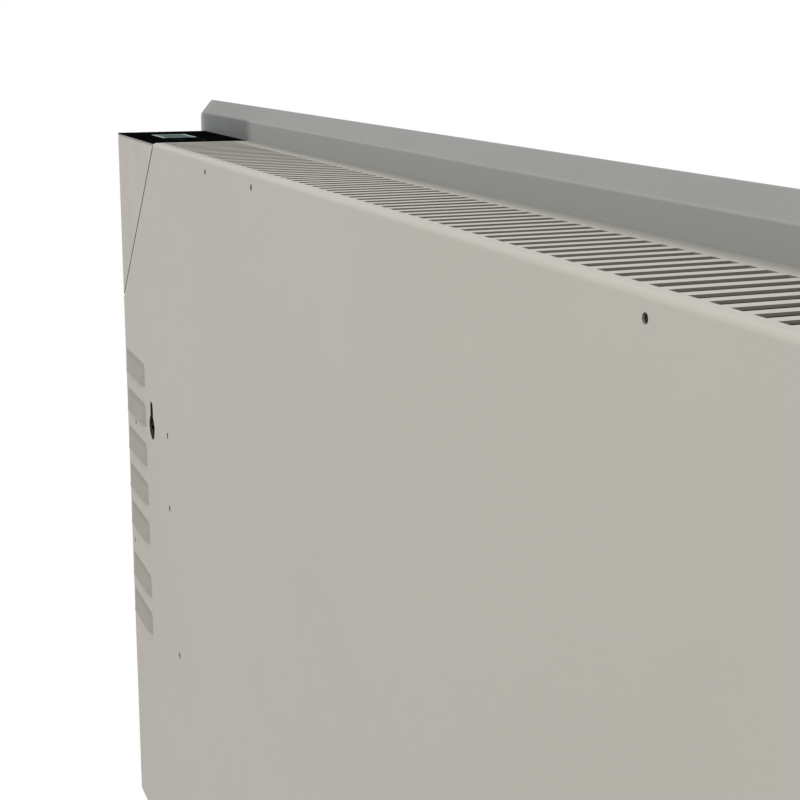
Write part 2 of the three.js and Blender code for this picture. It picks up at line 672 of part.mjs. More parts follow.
function topOutline() {
  const c = OVERLAY_CORNER;
  return [
    [c, 0], [MODULE_TOP - c, 0], [MODULE_TOP, c], [MODULE_TOP, BODY_DEPTH - c],
    [MODULE_TOP - c, BODY_DEPTH], [c, BODY_DEPTH], [0, BODY_DEPTH - c], [0, c],
  ];
}

// Top plate of the module between two heights, with the window and the keys' openings
const topPlate = (down, down2) => cut(
  levelPlates([topOutline()], down, down2),
  levelPlates([windowOutline, ...keyOpenings], down - OVERRUN, down2 + OVERRUN));

const displayOverlay = () => topPlate(0, OVERLAY_THICKNESS);

function displayFrame() {
  const alongs = [BOARD_ALONG + POST_INSET, BOARD_ALONG + BOARD_LENGTH - POST_INSET];
  const deeps = [BOARD_MARGIN + POST_INSET, BODY_DEPTH - BOARD_MARGIN - POST_INSET];
  const posts = alongs.flatMap((along) => deeps.map((deep) => pin(
    POST_DIAMETER / 2, BOARD_DOWN - OVERLAY_THICKNESS - LIP_THICKNESS / 2,
    at(along, deep, OVERLAY_THICKNESS + LIP_THICKNESS / 2), AXIS_DOWN, HOLE_SIDES)));
  return joined(topPlate(OVERLAY_THICKNESS, STACK), ...posts);
}

function lcdModule() {
  const raised = block(
    [WINDOW_ALONG + FIT, WINDOW_DEEP + FIT, LCD_RECESS],
    [WINDOW_ALONG + WINDOW_LENGTH - FIT, WINDOW_DEEP + WINDOW_WIDTH - FIT, STACK + LCD_THICKNESS]);
  const body = block(
    [WINDOW_ALONG - LCD_BORDER, WINDOW_DEEP - LCD_BORDER, STACK + FIT],
    [WINDOW_ALONG + WINDOW_LENGTH + LCD_BORDER, WINDOW_DEEP + WINDOW_WIDTH + LCD_BORDER, BOARD_DOWN - FIT]);
  return joined(raised, body);
}

const controlBoard = () => block(
  [BOARD_ALONG, BOARD_MARGIN, BOARD_DOWN],
  [BOARD_ALONG + BOARD_LENGTH, BODY_DEPTH - BOARD_MARGIN, BOARD_UNDER]);

function keyCap({ along, deep }) {
  const half = KEY_SIZE / 2;
  const cap = block([along - half, deep - half, 0], [along + half, deep + half, KEY_FLANGE_DOWN + FIT]);
  const wide = half + KEY_FLANGE;
  const flange = block(
    [along - wide, deep - wide, KEY_FLANGE_DOWN],
    [along + wide, deep + wide, KEY_FLANGE_DOWN + KEY_FLANGE_THICKNESS]);
  const stem = pin(
    KEY_STEM_DIAMETER / 2, MAT_DOWN - DOME_HEIGHT - KEY_TRAVEL - FIT - KEY_FLANGE_DOWN,
    at(along, deep, KEY_FLANGE_DOWN), AXIS_DOWN, HOLE_SIDES);
  return joined(cap, flange, stem);
}

function keyMat() {
  const half = KEY_SIZE / 2 + MAT_MARGIN;
  const sheet = block(
    [KEY_ALONG - half, KEY_DEEP - half, MAT_DOWN],
    [KEY_ALONG + KEY_PITCH + half, KEY_DEEP + KEY_PITCH + half, BOARD_DOWN]);
  const domes = keyPlaces.map(({ along, deep }) => turned([
    [0, 0], [DOME_DIAMETER / 2, 0], [DOME_DIAMETER / 2 - DOME_HEIGHT / 2, DOME_HEIGHT + MAT_THICKNESS / 2],
    [0, DOME_HEIGHT + MAT_THICKNESS / 2],
  ], at(along, deep, MAT_DOWN + MAT_THICKNESS / 2), AXIS_UP, HOLE_SIDES));
  return joined(sheet, ...domes);
}

// Web along the seam with a flange at the back and one at the front, inside the casing
function cornerBulkhead() {
  const start = SEAM_LEG;
  const web = SHEET * Math.SQRT2;
  const end = start + BULKHEAD_FLANGE * Math.SQRT2;
  const [front, right] = [COLLAR_END - FIT, PARTITION_ALONG - FIT];
  const band = (first, last, deep, deep2) => backPlate([
    [right, first - right], [INNER_FACE, first - INNER_FACE],
    [INNER_FACE, last - INNER_FACE], [right, last - right],
  ], deep, deep2);
  const inside = block([INNER_FACE, INNER_FACE, INNER_FACE], [right, front, end]);
  const channel = joined(
    band(start, start + web, INNER_FACE, front),
    band(start, end, INNER_FACE, INNER_FACE + SHEET),
    band(start, end, front - SHEET, front));
  const holes = housingScrewDeeps.map((deep) => seamPin(
    SCREW_HOLE_RADIUS, -OVERRUN, SHEET + 2 * OVERRUN, deep));
  return cut(common(channel, inside), ribbonWindow(STACK, end), ...holes);
}

function partition() {
  const web = block(
    [PARTITION_ALONG, INNER_FACE, PARTITION_INSET],
    [PARTITION_ALONG + SHEET, PARTITION_FRONT, BODY_HEIGHT - PARTITION_INSET]);
  const flange = block(
    [PARTITION_ALONG, INNER_FACE, PARTITION_INSET],
    [PARTITION_ALONG + PARTITION_FLANGE, INNER_FACE + SHEET, BODY_HEIGHT - PARTITION_INSET]);
  const hole = pin(
    WIRE_HOLE_DIAMETER / 2, SHEET + 2 * OVERRUN,
    at(PARTITION_ALONG - OVERRUN, ELEMENT_DEEP, WIRE_HOLE_DOWN), AXIS_ALONG);
  return cut(joined(web, flange), hole);
}

// Bar with four slanting fins round a bored hub
function elementFins() {
  const slant = Math.atan2(FIN_REACH_Z, FIN_REACH_Y);
  const reach = Math.hypot(FIN_REACH_Y, FIN_REACH_Z);
  const place = (angle, distance, side = 0) => [
    ELEMENT_DEEP + Math.cos(angle) * distance - Math.sin(angle) * side * FIN_THICKNESS / 2,
    ELEMENT_DOWN + Math.sin(angle) * distance + Math.cos(angle) * side * FIN_THICKNESS / 2,
  ];
  const fin = (angle) => [
    place(angle, HUB_RADIUS, -1), place(angle, reach, -1),
    place(angle, reach, 1), place(angle, HUB_RADIUS, 1),
  ];
  const outline = [0, Math.PI].flatMap((turn) => [
    place(turn, HUB_RADIUS), ...fin(turn + slant), ...fin(turn + Math.PI - slant),
  ]);
  const bore = pin(
    ROD_RADIUS + FIT, BODY_LENGTH, at(0, ELEMENT_DEEP, ELEMENT_DOWN), AXIS_ALONG, HOLE_SIDES);
  return cut(bar(outline, FINS_ALONG, BODY_LENGTH - FINS_FAR), bore);
}

const elementRod = () => turned([
  [0, 0], [PIN_RADIUS, 0], [PIN_RADIUS, PIN_LENGTH], [ROD_RADIUS, PIN_LENGTH],
  [ROD_RADIUS, PIN_LENGTH + ROD_END - ROD_ALONG], [PIN_RADIUS, PIN_LENGTH + ROD_END - ROD_ALONG],
  [PIN_RADIUS, 2 * PIN_LENGTH + ROD_END - ROD_ALONG], [0, 2 * PIN_LENGTH + ROD_END - ROD_ALONG],
], at(ROD_ALONG - PIN_LENGTH, ELEMENT_DEEP, ELEMENT_DOWN), AXIS_ALONG, HOLE_SIDES);

// Where the two brackets' webs stand, and which way each one's flanges point
const brackets = {
  inner: { along: FINS_ALONG - BRACKET_GAP - SHEET, side: -1 },
  outer: { along: BODY_LENGTH - FINS_FAR + BRACKET_GAP, side: 1 },
};

// Ends of a bracket's two flanges along the heater
const flangeSpan = ({ along, side }) => (
  side > 0 ? [along, along + BRACKET_FLANGE] : [along + SHEET - BRACKET_FLANGE, along + SHEET]);

// The screw through the middle of a bracket's front flange holds the heat shield
const SHIELD_DEEP = BRACKET_DEPTH + FIT;
const shieldScrewPlaces = Object.values(brackets).map((bracket) => {
  const [near, far] = flangeSpan(bracket);
  return at((near + far) / 2, SHIELD_DEEP, ELEMENT_DOWN - SHIELD_SCREW_SHARE * BRACKET_HALF_HEIGHT);
});

const shieldScrewHoles = () => shieldScrewPlaces.map((place) => pin(
  SCREW_HOLE_RADIUS, SCREW_BITE + 2 * OVERRUN, place.clone().addScaledVector(AXIS_DEEP, -SCREW_BITE),
  AXIS_DEEP, SCREW_SIDES));

function elementBracket(bracket) {
  const { along } = bracket;
  const [near, far] = flangeSpan(bracket);
  const [top, bottom] = [ELEMENT_DOWN - BRACKET_HALF_HEIGHT, ELEMENT_DOWN + BRACKET_HALF_HEIGHT];
  const web = block([along, INNER_FACE, top], [along + SHEET, BRACKET_DEPTH, bottom]);
  const foot = block([near, INNER_FACE, top], [far, INNER_FACE + SHEET, bottom]);
  const nose = block([near, BRACKET_DEPTH - SHEET, top], [far, BRACKET_DEPTH, bottom]);
  const hole = pin(
    BUSH_RADIUS + FIT, SHEET + 2 * OVERRUN, at(along - OVERRUN, ELEMENT_DEEP, ELEMENT_DOWN), AXIS_ALONG);
  return cut(joined(web, foot, nose), hole, ...shieldScrewHoles());
}

function elementBush({ along, side }) {
  const back = side > 0 ? along - FIT - BUSH_COLLAR_LENGTH : along + SHEET + FIT + BUSH_COLLAR_LENGTH;
  const bore = ROD_RADIUS + FIT;
  return turned([
    [bore, 0], [BUSH_COLLAR_RADIUS, 0], [BUSH_COLLAR_RADIUS, BUSH_COLLAR_LENGTH],
    [BUSH_RADIUS, BUSH_COLLAR_LENGTH], [BUSH_RADIUS, BUSH_LENGTH], [bore, BUSH_LENGTH], [bore, 0],
  ], at(back, ELEMENT_DEEP, ELEMENT_DOWN), AXIS_ALONG.clone().multiplyScalar(side));
}

const shieldEnds = [
  brackets.inner.along - SHIELD_OVERHANG, brackets.outer.along + SHEET + SHIELD_OVERHANG,
];

function heatShield() {
  const [rear, front] = [SHIELD_DEEP, SHIELD_DEEP + SHIELD_THICKNESS];
  const [top, bottom] = [SHIELD_TOP_DOWN, BODY_HEIGHT - SHIELD_BOTTOM_UP];
  const hem = front + SHIELD_HEM;
  const outline = [
    [rear, top], [hem, top], [hem, top + SHIELD_THICKNESS], [front, top + SHIELD_THICKNESS],
    [front, bottom - SHIELD_THICKNESS], [hem, bottom - SHIELD_THICKNESS], [hem, bottom], [rear, bottom],
  ];
  return cut(bar(outline, ...shieldEnds), ...shieldScrewHoles());
}

function overheatCutout() {
  const start = PARTITION_ALONG + SHEET + FIT;
  const can = turned([
    [0, 0], [CUTOUT_BASE_RADIUS, 0], [CUTOUT_BASE_RADIUS, CUTOUT_BASE_LENGTH],
    [CUTOUT_RADIUS, CUTOUT_BASE_LENGTH], [CUTOUT_RADIUS, CUTOUT_LENGTH], [0, CUTOUT_LENGTH],
  ], at(start, ELEMENT_DEEP, CUTOUT_DOWN), AXIS_ALONG);
  const spades = [-1, 1].map((side) => {
    const deep = ELEMENT_DEEP + side * SPADE_SPACING / 2;
    return block(
      [start + CUTOUT_LENGTH / 2, deep - SPADE_THICKNESS / 2, CUTOUT_DOWN - SPADE_WIDTH / 2],
      [start + CUTOUT_LENGTH + SPADE_LENGTH, deep + SPADE_THICKNESS / 2, CUTOUT_DOWN + SPADE_WIDTH / 2]);
  });
  return joined(can, ...spades);
}

const standoffPlaces = [
  [UPPER_STANDOFF_ALONG, UPPER_STANDOFF_DOWN], [INNER_STANDOFF_ALONG, UPPER_STANDOFF_DOWN],
  [LOWER_STANDOFF_ALONG, LOWER_STANDOFF_DOWN], [INNER_STANDOFF_ALONG, LOWER_STANDOFF_DOWN],
];

const standoff = ([along, down]) => pin(
  STANDOFF_RADIUS, POWER_DEEP - INNER_FACE, at(along, INNER_FACE, down), AXIS_DEEP, HOLE_SIDES);

// Board with the ribbon's socket at its top edge
function powerBoard() {
  const board = block(
    [POWER_ALONG, POWER_DEEP, POWER_DOWN],
    [POWER_ALONG + POWER_LENGTH, POWER_FRONT, POWER_END]);
  const half = RIBBON_WIDTH / 2 + OVERRUN;
  const socket = block(
    [RIBBON_ALONG - half, POWER_DEEP + BOARD_THICKNESS / 2, POWER_DOWN],
    [RIBBON_ALONG + half, POWER_FRONT + SOCKET_DEPTH, POWER_DOWN + SOCKET_HEIGHT]);
  return joined(board, socket);
}

const onBoard = (along, down, length, height, depth) => block(
  [along, POWER_FRONT, down], [along + length, POWER_FRONT + depth, down + height]);

const relay = () => onBoard(RELAY_ALONG, RELAY_DOWN, RELAY_LENGTH, RELAY_HEIGHT, RELAY_DEPTH);
const powerSupply = () => onBoard(SUPPLY_ALONG, SUPPLY_DOWN, SUPPLY_LENGTH, SUPPLY_HEIGHT, SUPPLY_DEPTH);
const capacitor = () => pin(
  CAPACITOR_RADIUS, CAPACITOR_LENGTH, at(CAPACITOR_ALONG, POWER_FRONT, CAPACITOR_DOWN), AXIS_DEEP);

function heatSink() {
  const base = onBoard(SINK_ALONG, SINK_DOWN, SINK_LENGTH, SINK_HEIGHT, SINK_BASE);
  const step = (SINK_LENGTH - SINK_FIN) / (SINK_FINS - 1);
  const fins = Array.from({ length: SINK_FINS }, (_, i) => onBoard(
    SINK_ALONG + i * step, SINK_DOWN, SINK_FIN, SINK_HEIGHT, SINK_DEPTH));
  return joined(base, ...fins);
}

const poleStep = TERMINAL_LENGTH / TERMINAL_POLES;
const poleAlong = (pole) => TERMINAL_ALONG + (pole + 1 / 2) * poleStep;
const POLE_DEEP = POWER_FRONT + TERMINAL_DEPTH / 2;

function terminalBlock() {
  const body = onBoard(TERMINAL_ALONG, TERMINAL_DOWN, TERMINAL_LENGTH, TERMINAL_HEIGHT, TERMINAL_DEPTH);
  const half = TERMINAL_MOUTH / 2;
  const mouths = Array.from({ length: TERMINAL_POLES }, (_, pole) => block(
    [poleAlong(pole) - half, POLE_DEEP - half, TERMINAL_END - TERMINAL_MOUTH_DEPTH],
    [poleAlong(pole) + half, POLE_DEEP + half, TERMINAL_END + OVERRUN]));
  return cut(body, ...mouths);
}

// Switch: its own frame has its height along down, its width along deep and its face at 0
const switchBlock = (inner, outer, halfHeight, halfWidth) => block(
  [inner, MIDDLE_DEEP - halfWidth, SWITCH_DOWN - halfHeight],
  [outer, MIDDLE_DEEP + halfWidth, SWITCH_DOWN + halfHeight]);

const switchCutout = () => switchBlock(
  -OVERRUN, SHEET + OVERRUN, SWITCH_BODY_HEIGHT / 2 + FIT, SWITCH_BODY_WIDTH / 2 + FIT);

const PIVOT_ALONG = ROCKER_PIVOT_DEPTH - SWITCH_BEZEL;
const pocketHalfHeight = ROCKER_HALF_HEIGHT + ROCKER_POCKET_PLAY;
const pocketHalfWidth = ROCKER_WIDTH / 2 + FIT;

const rockerPins = (radius, length) => pin(
  radius, ROCKER_WIDTH + 2 * length,
  at(PIVOT_ALONG, MIDDLE_DEEP - ROCKER_WIDTH / 2 - length, SWITCH_DOWN), AXIS_DEEP, ROUND_SIDES);

function switchBody() {
  const [halfHeight, halfWidth] = [SWITCH_BODY_HEIGHT / 2, SWITCH_BODY_WIDTH / 2];
  const bezel = switchBlock(
    -SWITCH_BEZEL, 0, halfHeight + SWITCH_BEZEL_BORDER, halfWidth + SWITCH_BEZEL_BORDER);
  const body = switchBlock(-SWITCH_BEZEL / 2, SWITCH_BODY_DEPTH, halfHeight, halfWidth);
  const pocket = switchBlock(
    -SWITCH_BEZEL - OVERRUN, ROCKER_POCKET - SWITCH_BEZEL, pocketHalfHeight, pocketHalfWidth);
  const spades = [-1, 1].map((side) => {
    const down = SWITCH_DOWN + side * SPADE_SPACING / 2;
    return block(
      [SWITCH_BODY_DEPTH - SPADE_THICKNESS, MIDDLE_DEEP - SPADE_WIDTH / 2, down - SPADE_THICKNESS / 2],
      [SWITCH_BODY_DEPTH + SPADE_LENGTH, MIDDLE_DEEP + SPADE_WIDTH / 2, down + SPADE_THICKNESS / 2]);
  });
  const pinHoles = rockerPins(ROCKER_PIN_RADIUS + FIT, ROCKER_PIN_LENGTH + FIT);
  return cut(joined(bezel, body, ...spades), pocket, pinHoles);
}

// Rocker about its pivot: a shallow valley across its face and a flat foot inside the pocket
function rocker() {
  const rise = ROCKER_HALF_HEIGHT * Math.tan(THREE.MathUtils.degToRad(ROCKER_TILT_DEGREES));
  const face = SWITCH_BEZEL + ROCKER_VALLEY;
  const shape = new THREE.Shape([
    [-ROCKER_HALF_HEIGHT, face + rise], [0, face], [ROCKER_HALF_HEIGHT, face + rise],
    [ROCKER_HALF_HEIGHT, -PIVOT_ALONG],
    [ROCKER_FOOT_HALF, -ROCKER_FOOT], [-ROCKER_FOOT_HALF, -ROCKER_FOOT],
    [-ROCKER_HALF_HEIGHT, -PIVOT_ALONG],
  ].map(([up, out]) => new THREE.Vector2(out, up)));
  const body = new THREE.ExtrudeGeometry(shape, { depth: ROCKER_WIDTH, bevelEnabled: false });
  body.rotateX(Math.PI / 2).translate(fromEnd(0), ROCKER_WIDTH / 2 - MIDDLE_DEEP, fromTop(SWITCH_DOWN));
  return joined(body, rockerPins(ROCKER_PIN_RADIUS, ROCKER_PIN_LENGTH));
}

const GLAND_FACE = at(GLAND_ALONG, MIDDLE_DEEP, BODY_HEIGHT + GLAND_FLANGE_LENGTH);

const cableGland = () => turned([
  [GLAND_BORE_RADIUS, 0], [GLAND_FLANGE_RADIUS, 0], [GLAND_FLANGE_RADIUS, GLAND_FLANGE_LENGTH],
  [GLAND_NECK_RADIUS, GLAND_FLANGE_LENGTH], [GLAND_NECK_RADIUS, GLAND_FLANGE_LENGTH + GLAND_NECK_LENGTH],
  [GLAND_BORE_RADIUS, GLAND_FLANGE_LENGTH + GLAND_NECK_LENGTH], [GLAND_BORE_RADIUS, 0],
], GLAND_FACE, AXIS_UP);

function glandNut() {
  const bore = GLAND_NECK_RADIUS + FIT;
  return turned([
    [bore, 0], [GLAND_NUT_RADIUS, 0], [GLAND_NUT_RADIUS, GLAND_NUT_LENGTH],
    [bore, GLAND_NUT_LENGTH], [bore, 0],
  ], at(GLAND_ALONG, MIDDLE_DEEP, BODY_HEIGHT - SHEET), AXIS_UP);
}

const SENSOR_DEEP = INNER_FACE + CLIP_SIZE / 2;

const roomSensor = () => pin(
  SENSOR_RADIUS, SENSOR_LENGTH, at(SENSOR_ALONG, SENSOR_DEEP, SENSOR_DOWN), AXIS_DOWN, HOLE_SIDES);

function sensorClip() {
  const middle = SENSOR_DOWN + SENSOR_LENGTH / 2;
  const half = CLIP_SIZE / 2;
  const body = block(
    [SENSOR_ALONG - half, INNER_FACE, middle - CLIP_HEIGHT / 2],
    [SENSOR_ALONG + half, INNER_FACE + CLIP_SIZE, middle + CLIP_HEIGHT / 2]);
  const bore = pin(
    SENSOR_RADIUS + FIT, CLIP_HEIGHT + 2 * OVERRUN,
    at(SENSOR_ALONG, SENSOR_DEEP, middle - CLIP_HEIGHT / 2 - OVERRUN), AXIS_DOWN, HOLE_SIDES);
  return cut(body, bore);
}

// Flat ribbon from the control board down through the seam to the power board's socket
function displayRibbon() {
  const half = RIBBON_THICKNESS / 2;
  const [start, end] = [MIDDLE_DEEP, POWER_FRONT + SOCKET_DEPTH / 2];
  const [top, bottom] = [BOARD_UNDER + FIT, POWER_DOWN - FIT];
  const bend = bottom - RIBBON_BEND_SPAN;
  const outline = [
    [start - half, top], [start + half, top], [start + half, bend],
    [end + half, bottom - RIBBON_BEND_SPAN / 2], [end + half, bottom], [end - half, bottom],
    [end - half, bottom - RIBBON_BEND_SPAN / 2], [start - half, bend],
  ];
  return bar(outline, RIBBON_ALONG - RIBBON_WIDTH / 2, RIBBON_ALONG + RIBBON_WIDTH / 2);
}

// Round wire through points given as along, deep and down
function wire(points, radius, steps) {
  const route = new THREE.CatmullRomCurve3(points.map((point) => at(...point)), false, 'centripetal');
  const section = new THREE.Shape(circle(0, 0, radius, WIRE_SIDES).map(([x, y]) => new THREE.Vector2(x, y)));
  return new THREE.ExtrudeGeometry(section, { steps, extrudePath: route, bevelEnabled: false });
}

const CUTOUT_FACE = PARTITION_ALONG + SHEET + FIT + CUTOUT_LENGTH;
const SPADE_MIDDLE = CUTOUT_FACE + SPADE_LENGTH / 2;
const SPADE_UNDER = CUTOUT_DOWN + SPADE_WIDTH / 2 + FIT;
const HOLE_PLAY = WIRE_HOLE_DIAMETER / 4;

// From a terminal through the partition to the cut-out
const liveWire = () => wire([
  [poleAlong(1), POLE_DEEP, TERMINAL_END + FIT],
  [poleAlong(1), POLE_DEEP, TERMINAL_END + WIRE_DROP],
  [PARTITION_ALONG - WIRE_DROP, ELEMENT_DEEP - HOLE_PLAY, WIRE_HOLE_DOWN],
  [PARTITION_ALONG, ELEMENT_DEEP - HOLE_PLAY, WIRE_HOLE_DOWN],
  [SPADE_MIDDLE, ELEMENT_DEEP - SPADE_SPACING / 2, WIRE_HOLE_DOWN - WIRE_DROP / 2],
  [SPADE_MIDDLE, ELEMENT_DEEP - SPADE_SPACING / 2, SPADE_UNDER],
], WIRE_RADIUS, SHORT_WIRE_STEPS);

// From the cut-out to the element's near pin
const elementWire = () => wire([
  [SPADE_MIDDLE, ELEMENT_DEEP + SPADE_SPACING / 2, SPADE_UNDER],
  [SPADE_MIDDLE, ELEMENT_DEEP + SPADE_SPACING / 2, SPADE_UNDER + WIRE_DROP],
  [ROD_ALONG - PIN_LENGTH - WIRE_DROP / 2, ELEMENT_DEEP, ELEMENT_DOWN],
  [ROD_ALONG - PIN_LENGTH - FIT, ELEMENT_DEEP, ELEMENT_DOWN],
], WIRE_RADIUS, SHORT_WIRE_STEPS);

// From a terminal along the casing to the element's far pin
function returnWire() {
  const low = BODY_HEIGHT - RETURN_WIRE_UP;
  const far = ROD_END + PIN_LENGTH + RETURN_WIRE_PAST_PIN;
  return wire([
    [poleAlong(2), POLE_DEEP, TERMINAL_END + FIT],
    [poleAlong(2), POLE_DEEP, TERMINAL_END + WIRE_DROP],
    [PARTITION_ALONG - WIRE_DROP, ELEMENT_DEEP + HOLE_PLAY / 2, WIRE_HOLE_DOWN + HOLE_PLAY],
    [PARTITION_ALONG + WIRE_DROP / 2, ELEMENT_DEEP, WIRE_HOLE_DOWN + HOLE_PLAY],
    [PARTITION_ALONG + WIRE_DROP / 2, RETURN_WIRE_DEEP, low - RETURN_WIRE_UP],
    [PARTITION_ALONG + WIRE_DROP, RETURN_WIRE_DEEP, low],
    [BODY_LENGTH / 2, RETURN_WIRE_DEEP, low],
    [ROD_END, RETURN_WIRE_DEEP, low],
    [far, ELEMENT_DEEP / 2, (low + ELEMENT_DOWN) / 2],
    [far, ELEMENT_DEEP, ELEMENT_DOWN],
    [ROD_END + PIN_LENGTH + FIT, ELEMENT_DEEP, ELEMENT_DOWN],
  ], WIRE_RADIUS, LONG_WIRE_STEPS);
}

// From the switch over the power board to a terminal
function switchWire() {
  const over = POWER_FRONT + SINK_DEPTH + WIRE_DROP / 2;
  const spade = SWITCH_DOWN + SPADE_SPACING / 2;
  const end = SWITCH_BODY_DEPTH + SPADE_LENGTH;
  return wire([
    [end + FIT, MIDDLE_DEEP, spade],
    [end + WIRE_DROP / 8, MIDDLE_DEEP, spade],
    [end, (MIDDLE_DEEP + over) / 2, spade + WIRE_DROP / 2],
    [poleAlong(0), over, POWER_DOWN],
    [poleAlong(0), over, TERMINAL_DOWN],
    [poleAlong(0), over, TERMINAL_END + WIRE_DROP / 2],
    [poleAlong(0), POLE_DEEP, TERMINAL_END + WIRE_DROP / 2],
    [poleAlong(0), POLE_DEEP, TERMINAL_END + FIT],
  ], WIRE_RADIUS, 2 * SHORT_WIRE_STEPS);
}

// From the power board's lower edge to the room sensor
const sensorWire = () => wire([
  [SENSOR_ALONG, POWER_DEEP + BOARD_THICKNESS / 2, POWER_END + FIT],
  [SENSOR_ALONG, POWER_DEEP, POWER_END + WIRE_DROP / 2],
  [SENSOR_ALONG, SENSOR_DEEP, SENSOR_DOWN - WIRE_DROP / 2],
  [SENSOR_ALONG, SENSOR_DEEP, SENSOR_DOWN - FIT],
], SENSOR_WIRE_RADIUS, SHORT_WIRE_STEPS);

// Domed screw: its head stands back from a point, its shank runs on from it
function screw(point, axis, length) {
  const seat = point.clone().addScaledVector(axis, -FIT - SCREW_HEAD_HEIGHT);
  return turned([
    [0, 0], [SCREW_HEAD_RADIUS / 2, 0], [SCREW_HEAD_RADIUS, SCREW_HEAD_HEIGHT / 2],
    [SCREW_HEAD_RADIUS, SCREW_HEAD_HEIGHT], [SCREW_RADIUS, SCREW_HEAD_HEIGHT],
    [SCREW_RADIUS, SCREW_HEAD_HEIGHT + FIT + length], [0, SCREW_HEAD_HEIGHT + FIT + length],
  ], seat, axis, SCREW_SIDES);
}

function housingScrew(deep) {
  const face = at(HOUSING_SCREW_ALONG, deep, MODULE_LEG - HOUSING_SCREW_ALONG);
  face.addScaledVector(AXIS_SEAM, SEAM_GAP + SHEET);
  return screw(face, AXIS_SEAM.clone().negate(), SCREW_LENGTH);
}

const shieldScrew = (place) => screw(
  place.clone().addScaledVector(AXIS_DEEP, SHIELD_THICKNESS), AXIS_DEEP.clone().negate(), SCREW_BITE);

const finish = (color, roughness, metalness) => new THREE.MeshStandardMaterial({
  color, roughness, metalness,
});
const paintedSteel = () => finish('#b7b3ab', 0.5, 0.1);
const panelPaint = () => finish('#8b8985', 0.5, 0.1);
const galvanised = () => finish('#aeb2b3', 0.4, 0.8);
const greyPlastic = () => finish('#817f7c', 0.6, 0);
const blackGloss = () => finish('#040404', 0.1, 0);
const blackPlastic = () => finish('#1d1d1e', 0.5, 0);
const boardGreen = () => finish('#1f5a3c', 0.5, 0);
const aluminium = () => finish('#b9bcbe', 0.35, 0.9);

const heater = new THREE.Group();

function add(name, geometry, material) {
  const mesh = new THREE.Mesh(closed(geometry), material);
  mesh.name = name;
  heater.add(mesh);
  return mesh;
}

add('rear_casing', rearCasing(), paintedSteel());
add('front_panel', frontPanel(), panelPaint());
add('control_housing', controlHousing(), paintedSteel());
add('display_overlay', displayOverlay(), blackGloss());
add('display_frame', displayFrame(), greyPlastic());
add('lcd_module', lcdModule(), finish('#8fa79a', 0.2, 0));
add('control_board', controlBoard(), boardGreen());
add('key_mat', keyMat(), blackPlastic());
keyPlaces.forEach((place) => add(`key_${place.name}`, keyCap(place), blackGloss()));
add('corner_bulkhead', cornerBulkhead(), galvanised());
add('partition', partition(), galvanised());
add('element_fins', elementFins(), aluminium());
add('element_rod', elementRod(), finish('#8b8d8f', 0.4, 0.9));
Object.entries(brackets).forEach(([name, bracket]) => {
  add(`element_bracket_${name}`, elementBracket(bracket), galvanised());
  add(`element_bush_${name}`, elementBush(bracket), finish('#e9e4da', 0.6, 0));
});
add('heat_shield', heatShield(), galvanised());
shieldScrewPlaces.forEach((place, i) => add(`shield_screw_${i + 1}`, shieldScrew(place), galvanised()));
add('overheat_cutout', overheatCutout(), blackPlastic());
add('power_board', powerBoard(), boardGreen());
standoffPlaces.forEach((place, i) => add(`board_post_${i + 1}`, standoff(place), blackPlastic()));
add('relay', relay(), finish('#2a2f3a', 0.5, 0));
add('power_supply', powerSupply(), finish('#2b2b2b', 0.6, 0));
add('capacitor', capacitor(), finish('#26324a', 0.4, 0));
add('heat_sink', heatSink(), aluminium());
add('terminal_block', terminalBlock(), finish('#3f7f52', 0.6, 0));
add('switch_body', switchBody(), blackPlastic());
add('cable_gland', cableGland(), blackPlastic());
add('gland_nut', glandNut(), blackPlastic());
add('room_sensor', roomSensor(), finish('#1b1b1b', 0.4, 0));
add('sensor_clip', sensorClip(), finish('#e4e2dc', 0.6, 0));
add('display_ribbon', displayRibbon(), finish('#8d8f92', 0.6, 0));
add('live_wire', liveWire(), finish('#6b4a2c', 0.6, 0));
add('element_wire', elementWire(), finish('#6b4a2c', 0.6, 0));
add('return_wire', returnWire(), finish('#2e4f8a', 0.6, 0));
add('switch_wire', switchWire(), finish('#6b4a2c', 0.6, 0));
add('sensor_wire', sensorWire(), blackPlastic());
housingScrewDeeps.forEach((deep, i) => add(`housing_screw_${i + 1}`, housingScrew(deep), galvanised()));
panelScrews.forEach(({ head, axis }, i) => add(
  `panel_screw_${i + 1}`, screw(head, axis, SCREW_BITE), galvanised()));

// The rocker rests tilted to its off side, turned about its pivot
const pivot = at(PIVOT_ALONG, MIDDLE_DEEP, SWITCH_DOWN);
const rockerTilt = new THREE.Group();
const rockerMesh = add('mains_rocker', rocker().translate(-pivot.x, -pivot.y, -pivot.z), blackPlastic());
rockerTilt.position.copy(pivot);
rockerTilt.rotation.y = THREE.MathUtils.degToRad(ROCKER_TILT_DEGREES);
rockerTilt.add(rockerMesh);
heater.add(rockerTilt);

export default heater;
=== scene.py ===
import math
from functools import partialmethod

import bmesh
import bpy
from mathutils import Matrix, Vector


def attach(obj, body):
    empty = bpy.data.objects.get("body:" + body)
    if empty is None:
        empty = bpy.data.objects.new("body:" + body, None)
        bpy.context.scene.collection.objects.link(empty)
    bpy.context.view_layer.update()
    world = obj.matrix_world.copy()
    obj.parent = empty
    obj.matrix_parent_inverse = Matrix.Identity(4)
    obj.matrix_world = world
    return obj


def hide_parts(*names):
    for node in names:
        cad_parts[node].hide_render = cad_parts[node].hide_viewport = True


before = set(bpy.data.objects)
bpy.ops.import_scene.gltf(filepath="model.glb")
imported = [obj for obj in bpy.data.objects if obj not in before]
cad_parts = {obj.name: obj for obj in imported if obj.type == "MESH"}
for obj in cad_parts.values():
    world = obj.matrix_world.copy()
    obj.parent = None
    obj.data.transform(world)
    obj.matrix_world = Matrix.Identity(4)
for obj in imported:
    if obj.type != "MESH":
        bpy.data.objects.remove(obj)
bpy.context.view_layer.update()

scene = bpy.context.scene

